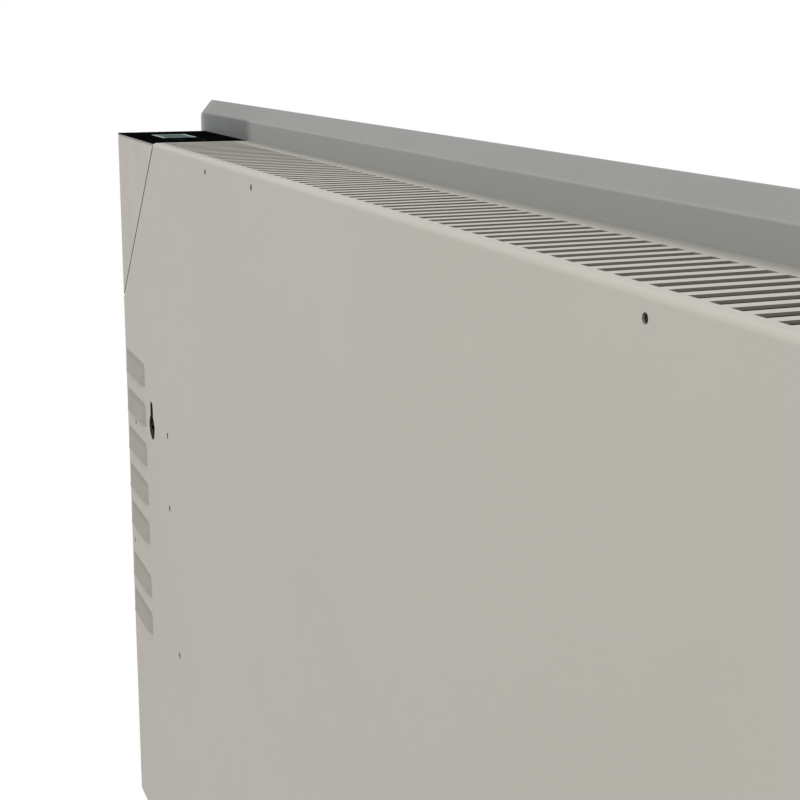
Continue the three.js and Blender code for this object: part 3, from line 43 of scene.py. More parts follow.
# The view: along the heater's back, from near its far end and a little above its top.
# The scene is in metres; lengths are written in millimetres, times MM.
MM = 0.001
EYE = Vector((-432.8, 164.7, 253.0)) * MM
TURN = math.radians(21.16)
DIP = math.radians(11.51)
LENS, SENSOR = 68.8, 36
SHIFT = -0.0653
NEAREST_SEEN = 10


def placed(name, data):
    """A new object in the scene."""
    made = bpy.data.objects.new(name, data)
    scene.collection.objects.link(made)
    return made


forward = Vector((math.cos(DIP) * math.cos(TURN), -math.cos(DIP) * math.sin(TURN), -math.sin(DIP)))
right = Vector((-math.sin(TURN), -math.cos(TURN), 0))
lens = bpy.data.cameras.new("view")
lens.lens = LENS
lens.sensor_width = SENSOR
lens.shift_y = SHIFT
lens.clip_start = NEAREST_SEEN * MM
camera = placed("view", lens)
axes = Matrix((right, right.cross(forward), -forward)).transposed()
camera.matrix_world = Matrix.Translation(EYE) @ axes.to_4x4()
scene.camera = camera
scene.view_settings.view_transform = "Standard"


# The studio: a pale floor below the heater, an even pale surrounding and one large soft lamp
# overhead on the camera's side. What the camera or a reflection sees of it is white, apart from
# the shadow that the floor keeps below the heater.
FLOOR_Z = -330 * MM
FLOOR_HALF = 9000 * MM
FLOOR_GREY = 0.86
SHADOW_HALF = (450 * MM, 60 * MM)
SHADOW_FADE = 240 * MM
SHADOW_WHITE = 0.6
SURROUND = 0.78
WHITE = (1, 1, 1, 1)
LAMP_PLACE = Vector((-300, 900, 2100)) * MM
LAMP_SIZE = 2200 * MM
LAMP_WATTS = 24


class Socket:
    """An output socket of a node tree, so that node sums are written as Python expressions."""

    def __init__(self, tree, socket=None):
        self.tree = tree
        self.socket = socket

    def node(self, kind, settings=None, inputs=None, output=0):
        """A node with its settings made first, then the values or links of its sockets."""
        node = self.tree.nodes.new(kind)
        for name, value in (settings or {}).items():
            setattr(node, name, value)
        for name, value in (inputs or {}).items():
            for single in value if isinstance(value, list) else [value]:
                if isinstance(single, Socket):
                    self.tree.links.new(single.socket, node.inputs[name])
                else:
                    node.inputs[name].default_value = single
        return Socket(self.tree, node.outputs[output] if len(node.outputs) else None)

    def maths(self, operation, *others):
        return self.node("ShaderNodeMath", {"operation": operation}, dict(enumerate((self, *others))))

    __add__ = partialmethod(maths, "ADD")
    __sub__ = partialmethod(maths, "SUBTRACT")
    __mul__ = partialmethod(maths, "MULTIPLY")
    __gt__ = partialmethod(maths, "GREATER_THAN")
    __lt__ = partialmethod(maths, "LESS_THAN")
    __abs__ = partialmethod(maths, "ABSOLUTE")
    larger = partialmethod(maths, "MAXIMUM")
    smaller = partialmethod(maths, "MINIMUM")

    def __rsub__(self, other):
        return self.node("ShaderNodeMath", {"operation": "SUBTRACT"}, {0: other, 1: self})

    def ramp(self, low, high, start=0.0, end=1.0):
        """Start below low, end above high, with a smooth passage between."""
        return self.node(
            "ShaderNodeMapRange", {"interpolation_type": "SMOOTHSTEP"},
            {"Value": self, "From Min": low, "From Max": high, "To Min": start, "To Max": end})

    def mix(self, first, second):
        """The first colour where this is 0 and the second where it is 1."""
        return self.node("ShaderNodeMix", {"data_type": "RGBA"}, {0: self, 6: first, 7: second}, 2)

    def parts(self):
        """The three numbers of a vector."""
        return [self.node("ShaderNodeSeparateXYZ", inputs={"Vector": self}, output=i) for i in range(3)]


def shader(target):
    """A start for the nodes of a material or of the world."""
    target.use_nodes = True
    target.node_tree.nodes.clear()
    return Socket(target.node_tree)


def seen_directly(start):
    """1 for rays from the camera, off a gloss or through glass, 0 for light that falls on things."""
    paths = [start.node("ShaderNodeLightPath", output=name)
             for name in ("Is Camera Ray", "Is Glossy Ray", "Is Transmission Ray")]
    return paths[0].larger(paths[1]).larger(paths[2])


scene.world = bpy.data.worlds.new("surround")
sky = shader(scene.world)
sky.node("ShaderNodeOutputWorld", inputs={"Surface": sky.node("ShaderNodeBackground", inputs={
    "Color": WHITE, "Strength": seen_directly(sky) * (1 - SURROUND) + SURROUND})})

floor_finish = bpy.data.materials.new("floor")
ground = shader(floor_finish)
floor_x, floor_y, _ = ground.node("ShaderNodeTexCoord", output="Object").parts()
away = (abs(floor_x) - SHADOW_HALF[0]).larger(abs(floor_y) - SHADOW_HALF[1])
matte = ground.node("ShaderNodeBsdfDiffuse", inputs={"Color": (FLOOR_GREY, FLOOR_GREY, FLOOR_GREY, 1)})
white = ground.node("ShaderNodeEmission", inputs={"Color": WHITE, "Strength": 1.0})
ground.node("ShaderNodeOutputMaterial", inputs={"Surface": ground.node("ShaderNodeMixShader", inputs={
    0: seen_directly(ground) * away.ramp(0, SHADOW_FADE, SHADOW_WHITE, 1), 1: matte, 2: white})})


def mesh_of(name, points, faces, edges=()):
    made = bpy.data.meshes.new(name)
    made.from_pydata(points, edges, faces)
    return made


floor_corners = [(x * FLOOR_HALF, y * FLOOR_HALF, FLOOR_Z) for x, y in ((-1, -1), (1, -1), (1, 1), (-1, 1))]
floor = placed("floor", mesh_of("floor", floor_corners, [(0, 1, 2, 3)]))
floor.data.materials.append(floor_finish)

lamp_data = bpy.data.lights.new("softbox", "AREA")
lamp_data.shape = "DISK"
lamp_data.size = LAMP_SIZE
lamp_data.energy = LAMP_WATTS
lamp = placed("softbox", lamp_data)
lamp.location = LAMP_PLACE
lamp.rotation_euler = (-LAMP_PLACE).to_track_quat("-Z", "Y").to_euler()


# Rear casing: sheet steel 1.2 mm thick, its back bent with a small radius into a top, a bottom
# and two ends, and powder-coated a warm light grey. The top is punched with a row of slots and
# the bottom with a row of wider ones; louvres, keyholes and small holes are pressed into the back.
LENGTH, HEIGHT, DEPTH = 864, 400, 50
SHEET = 1.2
BEND = 2.0
END_BEND = 0.6
CORNER = 3.0
LIP_DEPTH = 50.25
PUNCHED_EDGE = 0.03
KEYHOLE = dict(radius=6.7, neck=3.3, rise=14.4)
KEYHOLE_IN, KEYHOLE_DOWN, KEYHOLE_REACH = 67, 154.7, 12
PAINT = (183, 179, 171)
# Painted shade on the louvres' faces, as a colour and a darker step of it
LOUVRE_SHADE, LOUVRE_PROUD, LOUVRE_UPPER, LOUVRE_REACH = (157, 154, 145), 0.012, 0.45, 48
# Painted shade on the walls of cut edges, from the face down to near black deeper in
CUT_WALL_SHADE, CUT_DEEPEST_SHADE = (136, 133, 125), (26, 25, 23)
CUT_SHADE, KEYHOLE_SHADE = (0.6, 0.9), 0.4
CUT_MARGIN, BEND_MARGIN = 0.05, 0.1
TOP_SHADE, TOP_LEVEL = (140, 139, 133), 0.02
PANEL_SHADE, DISPLAY_SHADE = (37, 50, 0.9), (80, 340, 0.45)
NOISE_LOW, NOISE_HIGH = 0.3, 0.7


def linear(red, green, blue):
    """A colour in eight-bit steps of the display as the shader's own numbers."""
    def channel(step):
        share = step / 255
        return share / 12.92 if share <= 0.04045 else ((share + 0.055) / 1.055) ** 2.4
    return (channel(red), channel(green), channel(blue), 1)


def finish(name, recipe):
    """A material from a recipe that takes the place on the piece and gives the surface's sockets."""
    made = bpy.data.materials.new(name)
    start = shader(made)
    place = start.node("ShaderNodeTexCoord", output="Object")
    surface = start.node("ShaderNodeBsdfPrincipled", inputs=recipe(place))
    start.node("ShaderNodeOutputMaterial", inputs={"Surface": surface})
    return made


def noise(place, size, detail, roughness=0.5):
    """Smooth random numbers round one half, with features about so many millimetres wide."""
    return place.node("ShaderNodeTexNoise", inputs={
        "Vector": place, "Scale": 1 / (size * MM), "Detail": detail, "Roughness": roughness})


def bumped(height, depth):
    """A normal from a height of 0 to 1 that stands so many millimetres high."""
    return height.node("ShaderNodeBump", inputs={
        "Strength": 1.0, "Distance": depth * MM, "Height": height})


def orange_peel(place, depth):
    """The waves of a powder coat, wide ones with finer ones among them."""
    return bumped(noise(place, 1.1, 1) * 0.7 + noise(place, 0.35, 1) * 0.3, depth)


def patches(place, size, low=0.0, high=1.0, detail=2):
    """Patches about so many millimetres wide, each between a low and a high value."""
    return noise(place, size, detail).ramp(NOISE_LOW, NOISE_HIGH, low, high)


def faded(value, start, end, share=1):
    """Nothing at a start in millimetres, growing to a share at an end."""
    return value.ramp(start * MM, end * MM, 0, share)


def shades(amount, first, second):
    """Between two colours, the first where the amount is 0."""
    return amount.mix(linear(*first), linear(*second))


def stepped(colour, step):
    return tuple(part + step for part in colour)


def mottled(place, colour, size, darker, lighter):
    """A colour with patches that are a few steps darker or lighter."""
    return shades(patches(place, size, detail=3), stepped(colour, -darker), stepped(colour, lighter))


def casing_paint(place):
    x, y, z = place.parts()
    deep = y * -1.0
    # Painted shade on the louvres' faces, darkest along their upper edges
    upper = (y < LOUVRE_UPPER * MM) * (x > (LENGTH / 2 - LOUVRE_REACH) * MM)
    coat = (y > LOUVRE_PROUD * MM).mix(
        mottled(place, PAINT, 160, 1, 1), shades(upper, LOUVRE_SHADE, stepped(LOUVRE_SHADE, -6)))
    # The top is shaded along the front panel, and less towards the display
    shade = faded(deep, *PANEL_SHADE).larger(faded(x, *DISPLAY_SHADE))
    coat = ((z > (HEIGHT / 2 - TOP_LEVEL) * MM) * shade).mix(coat, linear(*TOP_SHADE))
    # Painted shade on the cut edges, inside the sheet's thickness and away from its bends, darker deeper in
    depths = HEIGHT / 2 * MM - abs(z), deep, LENGTH / 2 * MM - abs(x)
    low, high = depths[0].smaller(depths[1]), depths[0].larger(depths[1])
    nearest, second = low.smaller(depths[2]), low.larger(high.smaller(depths[2]))
    cut = (nearest > PUNCHED_EDGE * MM) * (nearest < (SHEET - CUT_MARGIN) * MM)
    cut = cut * (second > (BEND + BEND_MARGIN) * MM)
    # The walls of the keyholes fall off into shade sooner
    middle = HEIGHT / 2 - KEYHOLE_DOWN + (KEYHOLE["rise"] - KEYHOLE["radius"]) / 2
    from_keyhole = abs(abs(x) - (LENGTH / 2 - KEYHOLE_IN) * MM).larger(abs(z - middle * MM))
    shade_depth = nearest + (from_keyhole < KEYHOLE_REACH * MM) * (KEYHOLE_SHADE * MM)
    return {
        "Base Color": cut.mix(coat, shades(faded(shade_depth, *CUT_SHADE), CUT_WALL_SHADE, CUT_DEEPEST_SHADE)),
        "Roughness": patches(place, 14, 0.54, 0.6),
        "Specular IOR Level": 0.05,
        "Normal": orange_peel(place, 0.005),
    }


casing_coat = finish("casing_coat", casing_paint)


def arc(start, end, steps):
    """Cosine and sine at equal steps from one angle to another, in quarter turns."""
    angles = [(start + (end - start) * i / steps) * math.pi / 2 for i in range(steps + 1)]
    return [(math.cos(angle), math.sin(angle)) for angle in angles]


def circle(radius, sides=24):
    return [Vector((radius * c, radius * s)) for c, s in arc(0, 4, sides)[:-1]]


def rounded(width, height, radius, steps=5):
    """Rounded rectangle about the origin, anticlockwise from its right side's upper end."""
    reach = (width / 2 - radius, height / 2 - radius)
    return [Vector((x * reach[0] + radius * c, y * reach[1] + radius * s))
            for quarter, (x, y) in enumerate(((1, 1), (-1, 1), (-1, -1), (1, -1)))
            for c, s in arc(quarter, quarter + 1, steps)]


def rim(proud, deep, radius, steps=6):
    """Rounded rectangle that stands proud of the casing's outline, at one depth."""
    return [Vector((point.x, -deep, point.y)) * MM
            for point in rounded(LENGTH + 2 * proud, HEIGHT + 2 * proud, radius, steps)]


def skin(rings, closed=True):
    """Faces between rings of equally many points that follow each other in one list."""
    count = len(rings[0])
    return [(k * count + i, k * count + (i + 1) % count,
             (k + 1) * count + (i + 1) % count, (k + 1) * count + i)
            for k in range(len(rings) - 1) for i in range(count if closed else count - 1)]


def through(rings, faces=None):
    """Mesh through rings of points, with the given faces or those of its skin alone."""
    return mesh_of("rings", [point for ring in rings for point in ring], faces or skin(rings))


def geometry_tree(name, sizes):
    """A geometry tree with named inputs: its start, and each input by its name."""
    tree = bpy.data.node_groups.new(name, "GeometryNodeTree")
    tree.interface.new_socket("Geometry", in_out="INPUT", socket_type="NodeSocketGeometry")
    for label, kind in sizes.items():
        tree.interface.new_socket(label, in_out="INPUT", socket_type="NodeSocket" + kind)
    tree.interface.new_socket("Geometry", in_out="OUTPUT", socket_type="NodeSocketGeometry")
    given = tree.nodes.new("NodeGroupInput")
    return Socket(tree), {socket.name: Socket(tree, socket) for socket in given.outputs if socket.name}


def step(start, kind, **inputs):
    """A geometry node with its inputs by their names."""
    return start.node("GeometryNode" + kind, inputs=inputs)


def tree_end(result):
    result.node("NodeGroupOutput", inputs={"Geometry": result})


def grown(tree, mesh, **values):
    """The plain mesh that a geometry tree makes from another, with inputs given by their names."""
    carrier = placed("carrier", mesh)
    modifier = carrier.modifiers.new("tree", "NODES")
    modifier.node_group = tree
    for item in tree.interface.items_tree:
        if item.in_out == "INPUT" and item.name in values:
            modifier[item.identifier] = values[item.name]
    return evaluated(carrier)


def evaluated(carrier):
    """The mesh of an object with its modifiers done; the object itself goes."""
    graph = bpy.context.evaluated_depsgraph_get()
    made = bpy.data.meshes.new_from_object(carrier.evaluated_get(graph))
    bpy.data.objects.remove(carrier)
    return made


def repeated(points, shape):
    """The end of a tree that puts a shape at each of some points."""
    copies = step(points, "InstanceOnPoints", Points=points, Instance=shape)
    tree_end(step(points, "RealizeInstances", Geometry=copies))


# A row of one opening, from a first place at a steady pitch
row_start, row = geometry_tree("row", {"First": "Vector", "Pitch": "Vector", "Count": "Int"})
repeated(row_start.node("GeometryNodeMeshLine", {"mode": "OFFSET"}, {
    "Count": row["Count"], "Start Location": row["First"], "Offset": row["Pitch"]}), row["Geometry"])

# One opening at each point of a given mesh
spot_start, spot = geometry_tree("spots", {"Opening": "Object"})
repeated(spot["Geometry"], spot_start.node(
    "GeometryNodeObjectInfo", inputs={"Object": spot["Opening"]}, output="Geometry"))

# The flat sheet between open rims: one face level with 0, one below it by the thickness
MERGE_DISTANCE = 0.004 * MM
sheet_start, sheet = geometry_tree("sheet", {"Thickness": "Float", "Coat": "Material"})
free_edge = sheet_start.node("GeometryNodeInputMeshEdgeNeighbors", output="Face Count") < 2
level, middle = step(sheet_start, "InputPosition").parts()[2], sheet["Thickness"] * -0.5
upper_face, lower_face = [
    step(sheet_start, "FillCurve", Curve=step(
        sheet_start, "MeshToCurve", Mesh=sheet["Geometry"], Selection=free_edge * side))
    for side in (level > middle, level < middle)]
down = sheet_start.node("ShaderNodeCombineXYZ", inputs={"Z": sheet["Thickness"] * -1.0})
lower_face = step(sheet_start, "FlipFaces", Mesh=lower_face)
lower_face = step(sheet_start, "SetPosition", Geometry=lower_face, Offset=down)
whole = step(sheet_start, "JoinGeometry", Geometry=[sheet["Geometry"], upper_face, lower_face])
whole = step(sheet_start, "MergeByDistance", Geometry=whole, Distance=MERGE_DISTANCE)
whole = step(sheet_start, "RealizeInstances", Geometry=whole)
tree_end(step(sheet_start, "SetMaterial", Geometry=whole, Material=sheet["Coat"]))
row_tree, spot_tree, sheet_tree = row_start.tree, spot_start.tree, sheet_start.tree


def keyhole(radius, neck, rise):
    """Round hole with a neck upwards that ends in a half circle."""
    meet = math.acos(neck / radius) / (math.pi / 2)
    return ([Vector((radius * c, radius * s)) for c, s in arc(2 - meet, 4 + meet, 28)]
            + [Vector((neck * c, rise - neck + neck * s)) for c, s in arc(0, 2, 10)])


def wider(outline, distance):
    """The outline moved out by a distance, square to its sides."""
    widened = []
    for i, point in enumerate(outline):
        before = (point - outline[i - 1]).normalized()
        after = (outline[(i + 1) % len(outline)] - point).normalized()
        out = Vector((before.y + after.y, -before.x - after.x))
        widened.append(point + out * (2 * distance / out.length_squared))
    return widened


def levels(sections):
    """Rings of outlines, each given with its height."""
    return [[Vector((*point, height)) * MM for point in outline] for outline, height in sections]


def rounded_edge(radius, height, steps=3):
    """Profile that rounds from a face at a height down into an upright wall."""
    return [(radius * (1 - s), height - radius * (1 - c)) for c, s in arc(0, 1, steps)]


def opening(outline, thickness=SHEET, edge=PUNCHED_EDGE, side=1):
    """The wall round an opening, or with the side at -1 round a plate; its upper edge is rounded."""
    profile = [*rounded_edge(edge, 0), (0, -thickness)]
    return through(levels([(wider(outline, side * grow), height) for grow, height in profile]))


def joined(*meshes):
    """One mesh from several."""
    whole = bmesh.new()
    for mesh in meshes:
        whole.from_mesh(mesh)
    made = bpy.data.meshes.new("joined")
    whole.to_mesh(made)
    whole.free()
    return made


def at_spots(shape, places):
    """Copies of a shape at places given as pairs, in the plane of the sheet."""
    holder = placed("shape", shape)
    points = mesh_of("spots", [Vector((x, y, 0)) * MM for x, y in places], [])
    made = grown(spot_tree, points, Opening=holder)
    bpy.data.objects.remove(holder)
    return made


def in_row(shape, first, pitch, count):
    return grown(row_tree, shape, First=Vector((*first, 0)) * MM, Pitch=Vector((*pitch, 0)) * MM,
                 Count=count)


def moved(across, up, out=0):
    return Matrix.Translation(Vector((across, up, out)) * MM)


def plane(corner, across, up):
    """The place of a flat wall: across and up along it, and the third direction out of it."""
    place = Matrix((across, up, across.cross(up))).transposed().to_4x4()
    place.translation = corner * MM
    return place


def wall(place, outer, inner, openings):
    """A flat wall in its place, from its outer and inner outlines there and its openings."""
    rings = []
    for ring, height in ((outer, 0), (inner, -SHEET * MM)):
        flat = [place.inverted() @ point for point in ring]
        rings.append([Vector((point.x, point.y, height)) for point in flat])
    count = len(outer)
    loops = [(first + i, first + (i + 1) % count) for first in (0, count) for i in range(count)]
    border = mesh_of("border", rings[0] + rings[1], [], loops)
    made = grown(sheet_tree, joined(border, *openings), Thickness=SHEET * MM, Coat=casing_coat)
    made.transform(place)
    return made


CREASE = math.radians(40)
LEVEL_FACE, LEVEL_WEIGHT = 0.99999, 1e6


def shaded(mesh):
    """Smooth shading over bends, in which large and level faces rule their corners and stay flat."""
    limit = math.cos(CREASE)
    work = bmesh.new()
    work.from_mesh(mesh)
    weight = [face.calc_area() ** 2 * (LEVEL_WEIGHT if max(map(abs, face.normal)) > LEVEL_FACE else 1)
              for face in work.faces]
    work.faces.ensure_lookup_table()
    normals = []
    for face in work.faces:
        for loop in face.loops:
            total = face.normal * weight[face.index]
            for other in loop.vert.link_faces:
                if other != face and other.normal.dot(face.normal) > limit:
                    total = total + other.normal * weight[other.index]
            normals.append(total.normalized() if total.length else face.normal.copy())
    work.free()
    mesh.polygons.foreach_set("use_smooth", [True] * len(mesh.polygons))
    mesh.normals_split_custom_set(normals)
    return mesh


FLAT_ANGLE = math.radians(0.3)


def tidied(mesh, flatten=False):
    """Doubles merged, stray points gone and faces turned outwards; flat neighbours made one if asked."""
    work = bmesh.new()
    work.from_mesh(mesh)
    bmesh.ops.remove_doubles(work, verts=work.verts, dist=MERGE_DISTANCE)
    bmesh.ops.delete(work, geom=[v for v in work.verts if not v.link_faces], context="VERTS")
    if flatten:
        bmesh.ops.dissolve_limit(work, angle_limit=FLAT_ANGLE, verts=work.verts, edges=work.edges)
    bmesh.ops.recalc_face_normals(work, faces=work.faces)
    work.to_mesh(mesh)
    work.free()
    return mesh


def carved(mesh, tool, operation="DIFFERENCE"):
    """A closed mesh after a Boolean with another."""
    carrier, cutter = placed("carved", mesh), placed("cutter", tool)
    modifier = carrier.modifiers.new("cut", "BOOLEAN")
    modifier.solver = "MANIFOLD"
    modifier.operation = operation
    modifier.object = cutter
    made = evaluated(carrier)
    bpy.data.objects.remove(cutter)
    return made


def closed_stack(rings):
    """Closed mesh through rings, with its first and last ring filled."""
    size, last = len(rings[0]), len(rings[0]) * (len(rings) - 1)
    return tidied(through(rings, skin(rings) + [tuple(range(size)), tuple(range(last, last + size))]))


def back_prism(outline, *depths):
    """Closed block parallel to the back, from an outline given as along and down."""
    return closed_stack([
        [Vector((LENGTH / 2 - along, -depth, HEIGHT / 2 - down)) * MM for along, down in outline]
        for depth in depths])


def piece(name, mesh, material, slot, *nodes, body="heater"):
    """A finished piece that rides on a body and stands for the CAD's nodes."""
    mesh.materials.clear()
    mesh.materials.append(material)
    made = placed(name, mesh)
    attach(made, body)
    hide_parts(*nodes)


LOUVRE_BULGE = 1.15


def louvre(length, height, proud, taper, slit, rows=8):
    """Hood pressed out of the sheet: level at its top and ends, and cut free along its lip."""
    def lift(x, y):
        return proud * min(y / height, x / taper, (length - x) / taper) ** LOUVRE_BULGE

    end = [taper * i / 6 for i in range(6)]
    middle = [taper + (length - 2 * taper) * i / 10 for i in range(11)]
    xs = end + middle + [length - x for x in end[::-1]]
    ys = [height * i / rows for i in range(rows + 1)]
    top = [[Vector((x, -y, lift(x, y))) * MM for x in xs] for y in ys]
    under = [[Vector((x, -y, lift(x, y) - SHEET)) * MM for x in xs] for y in ys]
    count, last = len(xs), rows * len(xs)
    points = [point for line in top + under for point in line]
    shift = len(points) // 2
    faces = skin(top, closed=False)
    faces += [tuple(shift + i for i in face[::-1]) for face in faces]
    faces += [(last + i, last + i + 1, shift + last + i + 1, shift + last + i) for i in range(count - 1)]
    base = len(points)
    points += [Vector((x, -height - slit, z)) * MM for z in (0, -SHEET) for x in (0, length)]
    faces += [(base, base + 2, base + 3, base + 1),
              (last, shift + last, base + 2, base),
              (last + count - 1, base + 1, base + 3, shift + last + count - 1)]
    return mesh_of("louvre", points, faces)


def bend(inset, steps=8):
    """Rings round the back's bend, on the sheet's outer face or inset from it, tighter at the ends."""
    radius = BEND - inset
    rings = []
    for c, s in arc(0, 1, steps):
        ring = rim(-inset - radius * (1 - s), inset + radius * (1 - c), CORNER - inset - radius * (1 - s))
        push = radius * (1 - END_BEND / BEND) * (1 - s) * MM
        rings.append([point + Vector((math.copysign(push, point.x), 0, 0)) for point in ring])
    return rings


outer_bend, inner_bend = bend(0), bend(SHEET)[::-1]
lip = [rim(0, LIP_DEPTH, CORNER), rim(-SHEET, LIP_DEPTH, CORNER - SHEET)]
rings = [*outer_bend, *lip, *inner_bend]
ring_size = len(rings[0])
corner_size = ring_size // 4
wall_steps = (len(outer_bend) - 1, len(outer_bend) + len(lip) - 1)
bends = [face for face in skin(rings) if not (
    face[0] // ring_size in wall_steps and face[0] % ring_size % corner_size == corner_size - 1)]
bend_mesh = through(rings, bends)


def span(ring, ring2, quarter):
    """The four corners of a flat wall between two rings, on one side of the casing."""
    first = quarter * corner_size + corner_size - 1
    second = (first + 1) % ring_size
    return [ring[first], ring[second], ring2[second], ring2[first]]


SLOT = dict(width=4.4, rear=5.1, front=8.4, pitch=8.0, start=98.7)
INTAKE = dict(width=6.0, rear=5.1, front=9.2, pitch=14.0, start=106.0)
SLOT_CORNER, SLOT_BORDER = 0.4, 12


def slot_row(facing, width, rear, front, pitch, start):
    """A row of long slots across a level wall, as far as its far border."""
    reach = DEPTH - rear - front
    slot = opening(rounded(width, reach, SLOT_CORNER, 3))
    count = int((LENGTH - SLOT_BORDER - width / 2 - start) / pitch) + 1
    return in_row(slot, (start, facing * (rear + reach / 2)), (pitch, 0), count)


# Louvres in groups, each with its upper corner's place and their number
LOUVRE_GROUPS = [((3, -122.6), 5), ((3, -244.7), 2)]
LOUVRE_PITCH = (0, -22.7)
hood = louvre(length=48.6, height=12, proud=2, taper=7, slit=0.5)
louvres = [in_row(hood, place, LOUVRE_PITCH, count) for place, count in LOUVRE_GROUPS]

# Holes in the back, by their radius and their places
PIERCED = {
    1.35: [(199.8, -6), (274.8, -6), (584.2, -6), (659.2, -6), (23.2, -162), (8, -237)],
    1.7: [(105.2, -150), (105.2, -189.3), (118.4, -266.1)],
}
pierced = [at_spots(opening(circle(radius, 16)), places) for radius, places in PIERCED.items()]
keyholes = at_spots(opening(keyhole(**KEYHOLE)), [
    (along, -KEYHOLE_DOWN) for along in (KEYHOLE_IN, LENGTH - KEYHOLE_IN)])

SCREW_DEEP, SCREW_DOWN = 46.3, HEIGHT * 0.75
SCREW_SHARES = (-0.4, -0.14, 0.14, 0.4)
bottom_screws = [(LENGTH * (0.5 - share), -SCREW_DEEP) for share in SCREW_SHARES]
control_screws, far_screws = [(-SCREW_DEEP, -SCREW_DOWN)], [(SCREW_DEEP, -SCREW_DOWN)]
GLAND_PLACE, SWITCH_PLACE = (62, -DEPTH / 2), (-DEPTH / 2, -108)
screw_hole, gland_hole = opening(circle(2.2, 16)), opening(circle(8.0, 32))
switch_hole = opening(rounded(14.0, 20.6, 0.6, 3))

ALONG, UP, DEEP = Vector((-1, 0, 0)), Vector((0, 0, 1)), Vector((0, -1, 0))
control_top = Vector((LENGTH / 2, 0, HEIGHT / 2))
back_plane = plane(control_top, ALONG, UP)
top_plane = plane(control_top, ALONG, DEEP)
control_plane = plane(control_top, -DEEP, UP)
far_plane = plane(control_top + ALONG * LENGTH, DEEP, UP)
bottom_plane = plane(control_top - UP * HEIGHT, ALONG, -DEEP)
outer_pair, inner_pair = (outer_bend[-1], lip[0]), (inner_bend[0], lip[-1])
sides = [(span(*outer_pair, quarter), span(*inner_pair, quarter)) for quarter in range(4)]
walls = [
    wall(back_plane, outer_bend[0], inner_bend[-1], [*louvres, *pierced, keyholes]),
    wall(top_plane, *sides[0], [slot_row(1, **SLOT)]),
    wall(far_plane, *sides[1], [at_spots(screw_hole, far_screws)]),
    wall(bottom_plane, *sides[2], [
        slot_row(-1, **INTAKE), at_spots(screw_hole, bottom_screws), at_spots(gland_hole, [GLAND_PLACE])]),
    wall(control_plane, *sides[3], [
        at_spots(screw_hole, control_screws), at_spots(switch_hole, [SWITCH_PLACE])]),
]

# The control module takes one top corner, cut off along a line at 45 degrees. The blocks that
# cut reach over the faces by a little.
SEAM_LEG = 92.5
STACK = 1.4
MODULE_TOP = SEAM_LEG - STACK
SEAM_GAP, DISPLAY_GAP = 1.1, 0.5
OVER = 1
far_leg = SEAM_LEG + SEAM_GAP * math.sqrt(2)
top_end = MODULE_TOP + DISPLAY_GAP
corner_cut = back_prism(
    [(-OVER, -OVER), (top_end, -OVER), (top_end, far_leg - top_end), (-OVER, far_leg + OVER)],
    -OVER, DEPTH + OVER)
casing = carved(tidied(joined(bend_mesh, *walls)), corner_cut)
piece("rear_casing_sheet", shaded(casing), casing_coat, "grey_paint", "rear_casing")


# Front panel: one sheet of steel, larger than the casing, in a darker neutral grey. Its edge is
# bent back as a bevel, mitred at the corners, then inwards, and last into a collar in the casing.
PANEL_FRONT, PANEL_REAR = 60.0, 50.3
PANEL_PROUD, BEVEL_PROUD = 18.8, 10
BEVEL_INSIDE = (9.47, 16.09)
FACE_START = 13
COLLAR_PROUD, COLLAR_DEPTH = -1.5, 8
PANEL_CORNER, COLLAR_CORNER = 3.0, 1.5
OUTER_BEND, COLLAR_BEND, BEVEL_BEND, EDGE_BEND = 1.5, 0.6, 1.8, 0.3
PANEL_PAINT = (139, 140, 137)
# Colours of the level face, and of the painted shade on it beside the display
PANEL_LEVEL, PANEL_BESIDE_SHADE = (155, 156, 153), (119, 122, 120)
LEVEL_SHADE, END_SHADE, TOP_BAND, FACE_BAND = (-50.9, -50.33), (-9, 0), 1, 0.5
BESIDE_DISPLAY, BESIDE_BEVEL = (100, 84), (150, 50, 0.7)


def panel_paint(place):
    x, y, z = place.parts()
    # The level face round the casing is lighter than the bevel, and both carry painted shade beside the
    # display
    from_end = LENGTH / 2 * MM - x
    above = (z > (HEIGHT / 2 - TOP_BAND) * MM) * (y > (FACE_BAND - PANEL_FRONT) * MM)
    near_top = faded(from_end, *END_SHADE) * above
    bevel_share = near_top * faded(from_end, *BESIDE_BEVEL)
    coat = bevel_share.mix(mottled(place, PANEL_PAINT, 90, 1, 1), linear(*stepped(PANEL_PAINT, -10)))
    level = shades(near_top * faded(from_end, *BESIDE_DISPLAY), PANEL_LEVEL, PANEL_BESIDE_SHADE)
    return {
        "Base Color": faded(y, *LEVEL_SHADE).mix(coat, level),
        "Roughness": patches(place, 14, 0.5, 0.52),
        "Specular IOR Level": 0.15,
        "Normal": orange_peel(place, 0.003),
    }


def filleted(corners, steps=8):
    """Line through corners given as proud, deep and radius, with arcs at those with a radius."""
    line = []
    for i, (proud, deep, radius) in enumerate(corners):
        point = Vector((proud, deep))
        if not radius:
            line.append(point)
            continue
        before, after = [(Vector(corners[k][:2]) - point).normalized() for k in (i - 1, i + 1)]
        half = before.angle(after) / 2
        centre = point + (before + after).normalized() * (radius / math.sin(half))
        start = point + before * (radius / math.tan(half)) - centre
        turn = math.copysign(math.pi - 2 * half, -before.cross(after))
        line += [centre + Matrix.Rotation(turn * k / steps, 2) @ start for k in range(steps + 1)]
    return line


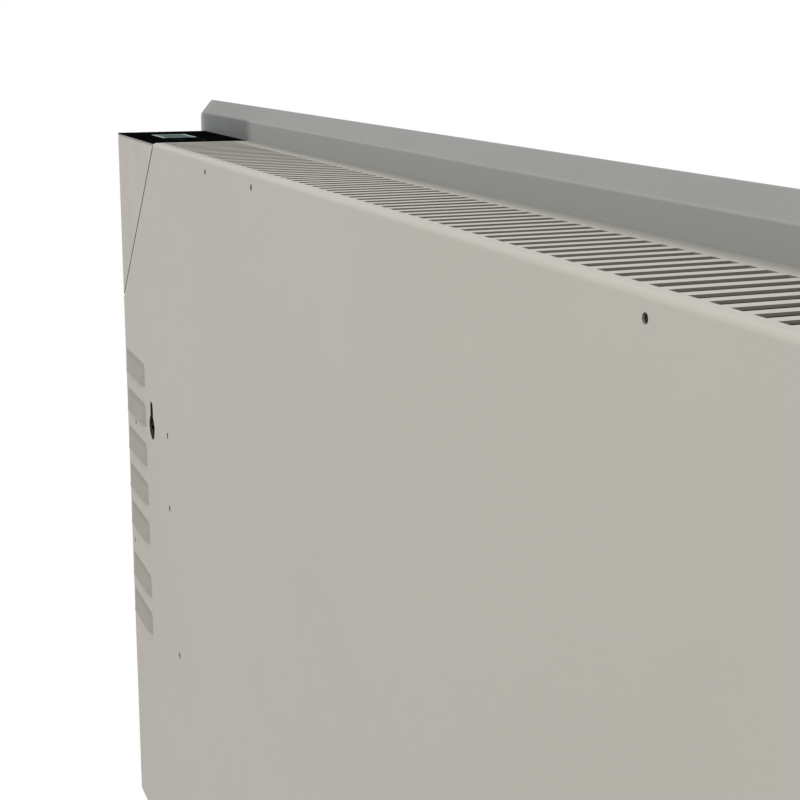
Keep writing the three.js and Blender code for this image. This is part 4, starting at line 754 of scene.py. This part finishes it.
# The sheet's section as proud of the casing, deep and radius: outer side first, then inner side
collar_end, collar_inside = PANEL_REAR - COLLAR_DEPTH, COLLAR_PROUD - SHEET
panel_line = filleted([
    (FACE_START, PANEL_FRONT, 0), (PANEL_PROUD, PANEL_FRONT, OUTER_BEND),
    (BEVEL_PROUD, PANEL_REAR, OUTER_BEND), (COLLAR_PROUD, PANEL_REAR, COLLAR_BEND),
    (COLLAR_PROUD, collar_end, 0), (collar_inside, collar_end, 0),
    (collar_inside, PANEL_REAR + SHEET, 0), (BEVEL_INSIDE[0], PANEL_REAR + SHEET, BEVEL_BEND),
    (BEVEL_INSIDE[1], PANEL_FRONT - SHEET, EDGE_BEND), (FACE_START, PANEL_FRONT - SHEET, 0)])
panel = closed_stack([
    rim(proud, deep, PANEL_CORNER if proud > 0 else COLLAR_CORNER) for proud, deep in panel_line])
collar_relief = back_prism([(-OVER, -OVER), (far_leg + OVER, -OVER), (-OVER, far_leg + OVER)],
                           collar_end - OVER, PANEL_REAR)
piece("front_panel_sheet", shaded(carved(panel, collar_relief)), finish("panel_coat", panel_paint),
      "panel_paint", "front_panel")


# Control module's housing: a moulded wedge that fills the casing's corner, in the casing's
# colour, held to a bulkhead behind the seam by two screws from inside. Its lower tip is rounded.
HOUSING_WALL, HOUSING_EDGE = 2.5, 0.3
TIP, TIP_GAP = 1.5, 0.1
BOSS_ALONG, BOSS_DEEP, BOSS_FROM, BOSS_TO = 60, 14, -6.5, -1.25
BOSS, BOSS_HOLE = circle(4, 20), circle(2.2, 16)
RIBBON_WAY, RIBBON_PLACE, RIBBON_TOP = rounded(14, 8, 1), (33, 25), -10
GAP_SHADE, GAP_DEEP = (58, 56, 52), 0.04


def moulded(colour, roughness=0.5, spread=2, grain=0.5, shine=0.4):
    """Recipe of a moulded plastic in one colour, with a fine grain."""
    def recipe(place):
        return {
            "Base Color": mottled(place, colour, 30, spread, spread),
            "Roughness": patches(place, 6, roughness - 0.04, roughness + 0.04),
            "Specular IOR Level": shine,
            "Normal": bumped(noise(place, grain, 1), 0.008),
        }
    return recipe


def partly(surface, share, colour):
    """A surface with another colour where a share of the place is 1."""
    return {**surface, "Base Color": share.mix(surface["Base Color"], linear(*colour))}


def softened(mesh, radius, limit=40, steps=2):
    """The mesh with its sharp edges rounded."""
    work = bmesh.new()
    work.from_mesh(tidied(mesh, flatten=True))
    sharp = [edge for edge in work.edges
             if edge.is_manifold and edge.calc_face_angle() > math.radians(limit)]
    bmesh.ops.bevel(work, geom=sharp, offset=radius * MM, segments=steps, profile=0.5,
                    affect="EDGES", clamp_overlap=True)
    work.to_mesh(mesh)
    work.free()
    return mesh


def stacked_on(place, sections):
    """Closed block through outlines over a plane, each given with its height."""
    made = closed_stack(levels(sections))
    made.transform(place)
    return made


def bar(place, outline, low, high):
    """Closed bar of one section between two heights over a plane."""
    return stacked_on(place, [(outline, low), (outline, high)])


def shifted(outline, across, up):
    return [point + Vector((across, up)) for point in outline]


tip_arc = [(TIP * (1 - c), MODULE_TOP - TIP * (1 - s) + TIP_GAP) for c, s in arc(0, 1, 5)]
wedge = back_prism([(-OVER, STACK), (-OVER, MODULE_TOP - TIP), *tip_arc, (MODULE_TOP, STACK)],
                   -OVER, DEPTH + OVER)
block = closed_stack([*outer_bend, rim(0, LIP_DEPTH, CORNER)])
shell = softened(carved(block, wedge, "INTERSECT"), HOUSING_EDGE)
inside, open_top = SEAM_LEG - HOUSING_WALL * math.sqrt(2), STACK - OVER
hollow = back_prism([(HOUSING_WALL, open_top), (HOUSING_WALL, inside - HOUSING_WALL),
                     (inside - open_top, open_top)], HOUSING_WALL, DEPTH - HOUSING_WALL)
shell = carved(tidied(shell), hollow)

# Two screw bosses behind the seam, and the way that the ribbon passes
seam_out = (ALONG - UP).normalized()
for deep in (BOSS_DEEP, DEPTH - BOSS_DEEP):
    boss_place = control_top + ALONG * BOSS_ALONG - UP * (SEAM_LEG - BOSS_ALONG) + DEEP * deep
    seam_face = plane(boss_place, DEEP.cross(seam_out), DEEP)
    shell = carved(shell, bar(seam_face, BOSS, BOSS_FROM, BOSS_TO), "UNION")
    shell = carved(shell, bar(seam_face, BOSS_HOLE, BOSS_FROM - OVER, OVER))
shell = carved(shell, bar(top_plane, shifted(RIBBON_WAY, *RIBBON_PLACE), -SEAM_LEG, RIBBON_TOP))


def housing_plastic(place):
    """The casing's colour, with the gap's shadow painted on the wall along the seam."""
    x, _, z = place.parts()
    seam = (x + z) < ((LENGTH + HEIGHT) / 2 - SEAM_LEG + GAP_DEEP) * MM
    return partly(moulded(PAINT, 0.56, shine=0.05)(place), seam, GAP_SHADE)


piece("control_housing_shell", shaded(shell), finish("housing_plastic", housing_plastic),
      "grey_housing", "control_housing")


# Display: a thin black gloss plate on a grey lip, level with the casing's top. It has a window
# over the LCD, and four square openings for the keys. The lip has four posts for the board.
PLATE, PLATE_EDGE, LIP_EDGE = 0.4, 0.1, 0.15
PLATE_OUTLINE = rounded(MODULE_TOP, DEPTH, 0.8, 4)
WINDOW, WINDOW_PLACE = rounded(31.5, 19.9, 0.4, 3), (38.25, 23.45)
KEY_OPENING = rounded(9.6, 9.6, 1.4, 4)
KEY_SPOTS = {"power": (62, 19), "mode": (74, 19), "minus": (62, 31), "plus": (74, 31)}
KEY_GROUP, KEY_REACH = (68, 25), 12
POST, POST_FROM, POST_TO = circle(2.5, 20), -7, -1
POSTS = [(along, deep) for along in (6.3, 76.7) for deep in (6.3, DEPTH - 6.3)]
LIP_GREY = (128, 126, 124)
BLACK = (7, 7, 8)


def black_gloss(place):
    """Black plate with so little shine that it stays black at a low angle."""
    smear = noise(place, 22, 4, 0.6)
    return {
        "Base Color": shades(smear.ramp(0.35, 0.75), BLACK, stepped(BLACK, 3)),
        "Roughness": smear.ramp(NOISE_LOW, NOISE_HIGH, 0.12, 0.22),
        "Specular IOR Level": 0.0,
        "Normal": bumped(noise(place, 9, 1), 0.01),
    }


def top_plate(down, thickness, edge, material):
    """The module's top plate with its openings, from a level down, as a closed mesh."""
    border = opening(PLATE_OUTLINE, thickness, edge, side=-1)
    border.transform(moved(MODULE_TOP / 2, DEPTH / 2))
    holes = [at_spots(opening(WINDOW, thickness, edge), [WINDOW_PLACE]),
             at_spots(opening(KEY_OPENING, thickness, edge), KEY_SPOTS.values())]
    made = tidied(grown(sheet_tree, joined(border, *holes), Thickness=thickness * MM, Coat=material))
    made.transform(top_plane @ moved(0, 0, -down))
    return made


gloss = finish("black_gloss_plate", black_gloss)
piece("display_overlay_plate", shaded(top_plate(0, PLATE, PLATE_EDGE, gloss)), gloss,
      "black_gloss", "display_overlay")


def from_spot(place, along, down):
    """How far a point is from a spot on the top, along the heater and across it."""
    x, y, _ = place.parts()
    return abs(x - (LENGTH / 2 - along) * MM), abs(y + down * MM)


def lip_plastic(place):
    """Grey along the lip's border, and black round the keys, whose gaps show it."""
    across, deep = from_spot(place, *KEY_GROUP)
    return partly(moulded(LIP_GREY, grain=0.3)(place), across.larger(deep) < KEY_REACH * MM, BLACK)


lip_grey = finish("lip_grey", lip_plastic)
lip_mesh = top_plate(PLATE, STACK - PLATE, LIP_EDGE, lip_grey)
for place in POSTS:
    lip_mesh = carved(lip_mesh, bar(top_plane, shifted(POST, *place), POST_FROM, POST_TO), "UNION")
piece("display_frame_lip", shaded(lip_mesh), lip_grey, "grey_plastic", "display_frame")


# LCD: a greenish glass block that fills the window, paler along its border, with two faint
# digits of bar segments. It widens under the lip to a frame that rests on the board.
LCD_SIZE, LCD_TOP, LCD_EDGE = (30.9, 19.3), -0.15, 0.15
FOOT_SIZE, FOOT_TOP, FOOT_EDGE, FOOT_BOTTOM = (35.5, 23.9), -1.7, 0.2, -6.7
LCD_CORNER = 0.4
LCD_GLASS, LCD_RIM, LCD_DARK = (90, 106, 100), (140, 157, 150), (66, 80, 75)
LCD_BORDER = 2.6
DIGIT, DIGIT_PITCH = dict(width=5.2, height=10.4, thick=1.1), 8.2
DIGIT_FROM, DIGIT_TO = -0.3, -0.14


def eased(outline, low, high, edge, steps=3):
    """Sections of a block with a rounded upper edge, from its top down."""
    return [(wider(outline, -grow), height) for grow, height in rounded_edge(edge, high, steps)] + [
        (outline, low)]


def lcd_glass(place):
    distances = zip(from_spot(place, *WINDOW_PLACE), LCD_SIZE)
    across, deep = [distance - (size / 2 - LCD_BORDER) * MM for distance, size in distances]
    field = shades(noise(place, 8, 2).ramp(0.2, 0.8), stepped(LCD_GLASS, -6), stepped(LCD_GLASS, 6))
    return {
        "Base Color": faded(across.larger(deep), -0.3, 0.5).mix(field, linear(*LCD_RIM)),
        "Roughness": patches(place, 5, 0.15, 0.22),
        "Specular IOR Level": 0.0,
    }


def segments(across, up, width, height, thick):
    """The seven bars of a digit about a place: two upright pairs and three level ones."""
    level = [(0, step * (height - thick) / 2, width - 2 * thick, thick) for step in (-1, 0, 1)]
    upright = [(side * (width - thick) / 2, step * height / 4, thick, height / 2 - thick)
               for side in (-1, 1) for step in (-1, 1)]
    return [shifted(rounded(w, h, 0.3, 2), across + x, up + y) for x, y, w, h in level + upright]


lcd_sections = eased(rounded(*LCD_SIZE, LCD_CORNER, 3), FOOT_TOP, LCD_TOP, LCD_EDGE)
lcd_sections += eased(rounded(*FOOT_SIZE, LCD_CORNER, 3), FOOT_BOTTOM, FOOT_TOP, FOOT_EDGE)
lcd = stacked_on(top_plane @ moved(*WINDOW_PLACE), lcd_sections)
piece("lcd_block", shaded(lcd), finish("lcd_glass", lcd_glass), "lcd", "lcd_module")

digit_bars = [bar(top_plane, outline, DIGIT_FROM, DIGIT_TO) for side in (-0.5, 0.5)
              for outline in segments(WINDOW_PLACE[0] + side * DIGIT_PITCH, WINDOW_PLACE[1], **DIGIT)]
lcd_ink = finish("lcd_ink", moulded(LCD_DARK, 0.3, shine=0.0))
piece("lcd_digits", shaded(joined(*digit_bars)), lcd_ink, "lcd")


# Keys: four square caps level with the plate, black as it is, each with a flange that keeps it
# under the lip and a stem over a rubber dome. A grey mark is printed on each cap.
KEY_CAP, KEY_FLANGE, KEY_STEM = rounded(9.0, 9.0, 1.2, 5), rounded(10.4, 10.4, 0.6, 5), circle(2.5)
KEY_TOP, KEY_EDGE = -0.03, 0.35
FLANGE_TOP, FLANGE_BOTTOM, STEM_BOTTOM = -1.7, -2.9, -4.2
MARK_LINE = 0.4
MARK_FROM, MARK_TO = -0.2, -0.015
MARK_GREY = (62, 63, 65)


def ring_mark(radius, width, start, end, steps=20):
    """Open ring as an outline, between two angles in quarter turns."""
    turns = arc(start, end, steps)
    return ([Vector((radius * c, radius * s)) for c, s in turns]
            + [Vector(((radius - width) * c, (radius - width) * s)) for c, s in turns[::-1]])


def block_mark(width, height, across=0, up=0):
    return shifted(rounded(width, height, min(width, height) / 4, 2), across, up)


MARKS = {
    "power": [ring_mark(1.7, MARK_LINE, 1.45, 4.55), block_mark(MARK_LINE, 1.7, 0, 1.15)],
    "mode": [block_mark(3.2, MARK_LINE, 0, step) for step in (-1, 0, 1)],
    "minus": [block_mark(3.0, 0.45)],
    "plus": [block_mark(3.0, 0.45), block_mark(0.45, 3.0)],
}


def mark_plane(along, deep):
    """The place of a mark on the top, upright for a reader who faces the wall."""
    return plane(control_top + ALONG * along + DEEP * deep, -ALONG, -DEEP)


key_black = finish("key_black", black_gloss)
mark_print = finish("mark_print", moulded(MARK_GREY, 0.45, shine=0.0))
key_sections = eased(KEY_CAP, FLANGE_TOP, KEY_TOP, KEY_EDGE) + [
    (KEY_FLANGE, FLANGE_TOP), (KEY_FLANGE, FLANGE_BOTTOM), (KEY_STEM, FLANGE_BOTTOM), (KEY_STEM, STEM_BOTTOM)]
for name, spot in KEY_SPOTS.items():
    cap = shaded(stacked_on(mark_plane(*spot), key_sections))
    printed = joined(*[bar(mark_plane(*spot), outline, MARK_FROM, MARK_TO) for outline in MARKS[name]])
    piece(f"key_{name}_cap", cap, key_black, "black_gloss", f"key_{name}", body=f"{name}_key")
    piece(f"key_{name}_mark", printed, mark_print, "black_gloss", body=f"{name}_key")


# Mains switch: a black snap-in body in the end wall, its bezel proud of it, with two spades
# inside. The rocker tilts in the body's pocket on two pins and rests on its off side.
SWITCH_BODY, SWITCH_DEPTH = rounded(13.4, 20.0, 0.5, 4), 15.0
BEZEL, BEZEL_HEIGHT, BEZEL_EDGE = rounded(16.6, 23.2, 1.6, 4), 1.8, 0.6
POCKET, POCKET_RIM, POCKET_FLOOR = rounded(11.0, 17.2, 0.8, 4), rounded(11.5, 17.7, 1.0, 4), 7.2
RIM_TOP, RIM_BOTTOM = 0.1, 0.4
SPADE, SPADE_LENGTH = rounded(6.3, 0.8, 0.2, 2), 7
ROCKER_WIDTH, ROCKER_HALF, ROCKER_VALLEY, ROCKER_EDGE = 10.4, 8.0, 2.8, 0.45
ROCKER_TILT = math.radians(10)
ROCKER_FOOT, ROCKER_BOTTOM = 4.6, 4.5
PIN, PIN_LENGTH, PIN_DEPTH = circle(1.2, 16), 0.8, 0.2
BLACK_PLASTIC = (29, 29, 30)
MARK_WHITE, MARK_RAISED = (205, 205, 200), 0.02


def crosswise(section, half):
    """Block of one section, up and out from the end wall, as wide to both sides of the switch."""
    return closed_stack([[Vector((across, up, out)) * MM for up, out in section]
                         for across in (-half, half)])


black_plastic = finish("black_plastic_grain", moulded(BLACK_PLASTIC, 0.46, 3, grain=0.4))
switch_plane = control_plane @ moved(*SWITCH_PLACE)
switch = stacked_on(switch_plane, eased(BEZEL, 0, BEZEL_HEIGHT, BEZEL_EDGE, 4) + [
    (SWITCH_BODY, 0), (SWITCH_BODY, -SWITCH_DEPTH)])
switch = carved(switch, stacked_on(switch_plane, [
    (POCKET_RIM, BEZEL_HEIGHT + OVER), (POCKET_RIM, BEZEL_HEIGHT - RIM_TOP),
    (POCKET, BEZEL_HEIGHT - RIM_BOTTOM), (POCKET, -POCKET_FLOOR)]))
for up in (-ROCKER_HALF / 2, ROCKER_HALF / 2):
    spade = bar(switch_plane, shifted(SPADE, 0, up), -SWITCH_DEPTH - SPADE_LENGTH, -SWITCH_DEPTH + OVER)
    switch = carved(switch, spade, "UNION")
piece("switch_body_moulded", shaded(switch), black_plastic, "black_plastic", "switch_body")

# The rocker's side view, up and out from the end wall, runs across its width
rise = ROCKER_HALF * math.tan(ROCKER_TILT)
side_view = [(ROCKER_HALF, ROCKER_VALLEY + rise), (0, ROCKER_VALLEY), (-ROCKER_HALF, ROCKER_VALLEY + rise),
             (-ROCKER_HALF, -PIN_DEPTH), (-ROCKER_FOOT, -ROCKER_BOTTOM), (ROCKER_FOOT, -ROCKER_BOTTOM),
             (ROCKER_HALF, -PIN_DEPTH)]
rocker = softened(crosswise(side_view, ROCKER_WIDTH / 2), ROCKER_EDGE, limit=15, steps=3)
pins = crosswise(shifted(PIN, 0, -PIN_DEPTH), ROCKER_WIDTH / 2 + PIN_LENGTH)
rocker = carved(tidied(rocker), pins, "UNION")
pivot = moved(0, 0, -PIN_DEPTH)
tilted = switch_plane @ pivot @ Matrix.Rotation(ROCKER_TILT, 4, "X") @ pivot.inverted()
rocker.transform(tilted)
piece("mains_rocker_moulded", shaded(rocker), black_plastic, "black_plastic", "mains_rocker", body="rocker")


def rocker_mark(outline, side):
    """A printed mark on the rocker's upper half, or on its lower half with the side at -1."""
    face = moved(0, side * ROCKER_HALF / 2, ROCKER_VALLEY + rise / 2)
    place = tilted @ face @ Matrix.Rotation(side * ROCKER_TILT, 4, "X")
    return bar(place, outline, MARK_FROM, MARK_RAISED)


on_mark = rocker_mark(block_mark(0.6, 3.4), 1)
off_mark = rocker_mark(ring_mark(1.7, 0.5, 0, 3.96, 28), -1)
piece("mains_rocker_marks", joined(on_mark, off_mark), finish("mark_white", moulded(MARK_WHITE)),
      "black_plastic", body="rocker")


# Cable gland: a turned black bush where the mains cord goes through the bottom wall. It has a
# round flange outside, and its nut holds it from inside the casing.
GLAND = [(4.2, -13), (7.7, -13), (7.7, 0), (11, 0), (11, 1.6), (10.7, 2.1), (10.2, 2.3), (8.6, 2.4),
         (8.2, 2.9), (7.9, 3), (5.2, 3), (4.7, 2.8), (4.2, 2.2)]
gland = tidied(through(levels([(circle(radius, 48), height) for radius, height in [*GLAND, GLAND[0]]])))
gland.transform(bottom_plane @ moved(*GLAND_PLACE))
piece("cable_gland_turned", shaded(gland), black_plastic, "black_plastic", "cable_gland")


# Panel screws: zinc-plated pan heads with a cross recess, four through the bottom wall and one
# through each end wall, into the front panel's collar.
HEAD_RADIUS, HEAD_HEIGHT, HEAD_GAP = 3.6, 2.2, 0.3
HEAD_SIDE = 0.35
SHANK, SHANK_END, POINT, POINT_END = 1.9, -4.0, 1.2, -4.6
RECESS = (3.6, 0.8)
RECESS_TOP, RECESS_FLOOR, RECESS_TAPER = 3.3, 1.2, 0.6
ZINC = (176, 180, 181)


def zinc_plate(place):
    return {
        "Base Color": mottled(place, ZINC, 2, 14, 6),
        "Metallic": 0.85,
        "Roughness": patches(place, 0.8, 0.28, 0.42),
    }


def pan_head(sides=32):
    """Screw with its axis upwards and the underside of its head a gap over the level 0."""
    dome = [(HEAD_RADIUS * s, HEAD_GAP + HEAD_HEIGHT * (HEAD_SIDE + (1 - HEAD_SIDE) * c))
            for c, s in arc(0, 1, 6)]
    profile = [*dome[1:], (HEAD_RADIUS, HEAD_GAP), (SHANK, HEAD_GAP), (SHANK, SHANK_END), (POINT, POINT_END)]
    head = stacked_on(Matrix(), [(circle(radius, sides), height) for radius, height in profile])
    for size in (RECESS[::-1], RECESS):
        floor_size = [side * RECESS_TAPER for side in size]
        head = carved(head, stacked_on(Matrix(), [
            (rounded(*size, 0.2, 2), RECESS_TOP), (rounded(*floor_size, 0.1, 2), RECESS_FLOOR)]))
    return head


screw_shape = pan_head()
screws = []
for place, spots in (
        (bottom_plane, bottom_screws), (far_plane, far_screws), (control_plane, control_screws)):
    group = at_spots(screw_shape, spots)
    group.transform(place)
    screws.append(group)
piece("panel_screws", shaded(joined(*screws)), finish("zinc_plate", zinc_plate), "galvanised",
      *[f"panel_screw_{i}" for i in range(1, 7)])


# Inner pieces keep the CAD's form. Sheet parts are galvanised with a spangle, the element and
# the heat sink are drawn aluminium, and the boards are green with lighter tracks.
BULKHEAD_SHADE = (LENGTH / 2 - 9, LENGTH / 2 - 5)
SPANGLE_DARK, SPANGLE_LIGHT = (150, 154, 156), (190, 194, 195)
BOARD_DARK, BOARD_LIGHT, TRACK = (27, 82, 54), (33, 94, 63), (74, 128, 88)


def spangled(place):
    cells = place.node(
        "ShaderNodeTexVoronoi", inputs={"Vector": place, "Scale": 1 / (7 * MM)}, output="Color")
    bright = cells.parts()[0] * 0.6 + noise(place, 3, 2) * 0.4
    return {
        "Base Color": shades(bright.ramp(0.1, 0.9), SPANGLE_DARK, SPANGLE_LIGHT),
        "Metallic": 0.8,
        "Roughness": bright.ramp(0.1, 0.9, 0.32, 0.5),
    }


def shaded_edge(place):
    """The galvanised sheet, with the gap's shadow painted on it where the seam shows its edge."""
    return partly(spangled(place), faded(place.parts()[0], *BULKHEAD_SHADE), GAP_SHADE)


def drawn(colour, roughness=0.35):
    """Recipe of a metal with fine lines along the heater."""
    def recipe(place):
        x, y, z = place.parts()
        lines = noise(place.node("ShaderNodeCombineXYZ", inputs={"X": x * 0.03, "Y": y, "Z": z}), 0.7, 2)
        return {
            "Base Color": shades(lines.ramp(0.25, 0.75), stepped(colour, -12), stepped(colour, 6)),
            "Metallic": 0.9,
            "Roughness": lines.ramp(0.25, 0.75, roughness - 0.06, roughness + 0.08),
        }
    return recipe


def board(place):
    cells = place.node("ShaderNodeTexVoronoi", {"feature": "DISTANCE_TO_EDGE"}, {
        "Vector": place, "Scale": 1 / (5 * MM), "Randomness": 0.6}, output="Distance")
    mask = (cells < 0.08) * (noise(place, 20, 1) > 0.42)
    return {
        "Base Color": mask.mix(shades(patches(place, 4), BOARD_DARK, BOARD_LIGHT), linear(*TRACK)),
        "Roughness": patches(place, 3, 0.38, 0.5),
        "Normal": bumped(mask, 0.03),
    }


INNER = {
    "galvanised_sheet": (spangled, [
        "partition", "element_bracket_inner", "element_bracket_outer", "heat_shield",
        "housing_screw_1", "housing_screw_2", "shield_screw_1", "shield_screw_2"]),
    "bulkhead_sheet": (shaded_edge, ["corner_bulkhead"]),
    "drawn_aluminium": (drawn((188, 191, 193)), ["element_fins", "heat_sink"]),
    "drawn_steel": (drawn((139, 141, 143), 0.4), ["element_rod"]),
    "ceramic": (moulded((233, 228, 218), 0.6), ["element_bush_inner", "element_bush_outer"]),
    "board_green": (board, ["control_board", "power_board"]),
    "case_blue": (moulded((40, 47, 66), spread=3), ["relay", "capacitor"]),
    "block_green": (moulded((63, 127, 82), 0.6), ["terminal_block"]),
    "clip_white": (moulded((226, 224, 218), 0.6), [
        "sensor_clip", *[f"board_post_{i}" for i in range(1, 5)]]),
    "case_black": (moulded(BLACK_PLASTIC, spread=3), [
        "power_supply", "overheat_cutout", "room_sensor", "gland_nut", "sensor_wire"]),
    "mat_black": (moulded((30, 30, 31), 0.8, 3), ["key_mat"]),
    "jacket_brown": (moulded((107, 74, 44), 0.6), ["live_wire", "element_wire", "switch_wire"]),
    "jacket_blue": (moulded((46, 79, 138), 0.6), ["return_wire"]),
    "ribbon_grey": (moulded((141, 143, 146), 0.6), ["display_ribbon"]),
}
for name, (recipe, nodes) in INNER.items():
    coat = finish(name, recipe)
    for node in nodes:
        bpy.data.objects[node].material_slots[0].material = coat
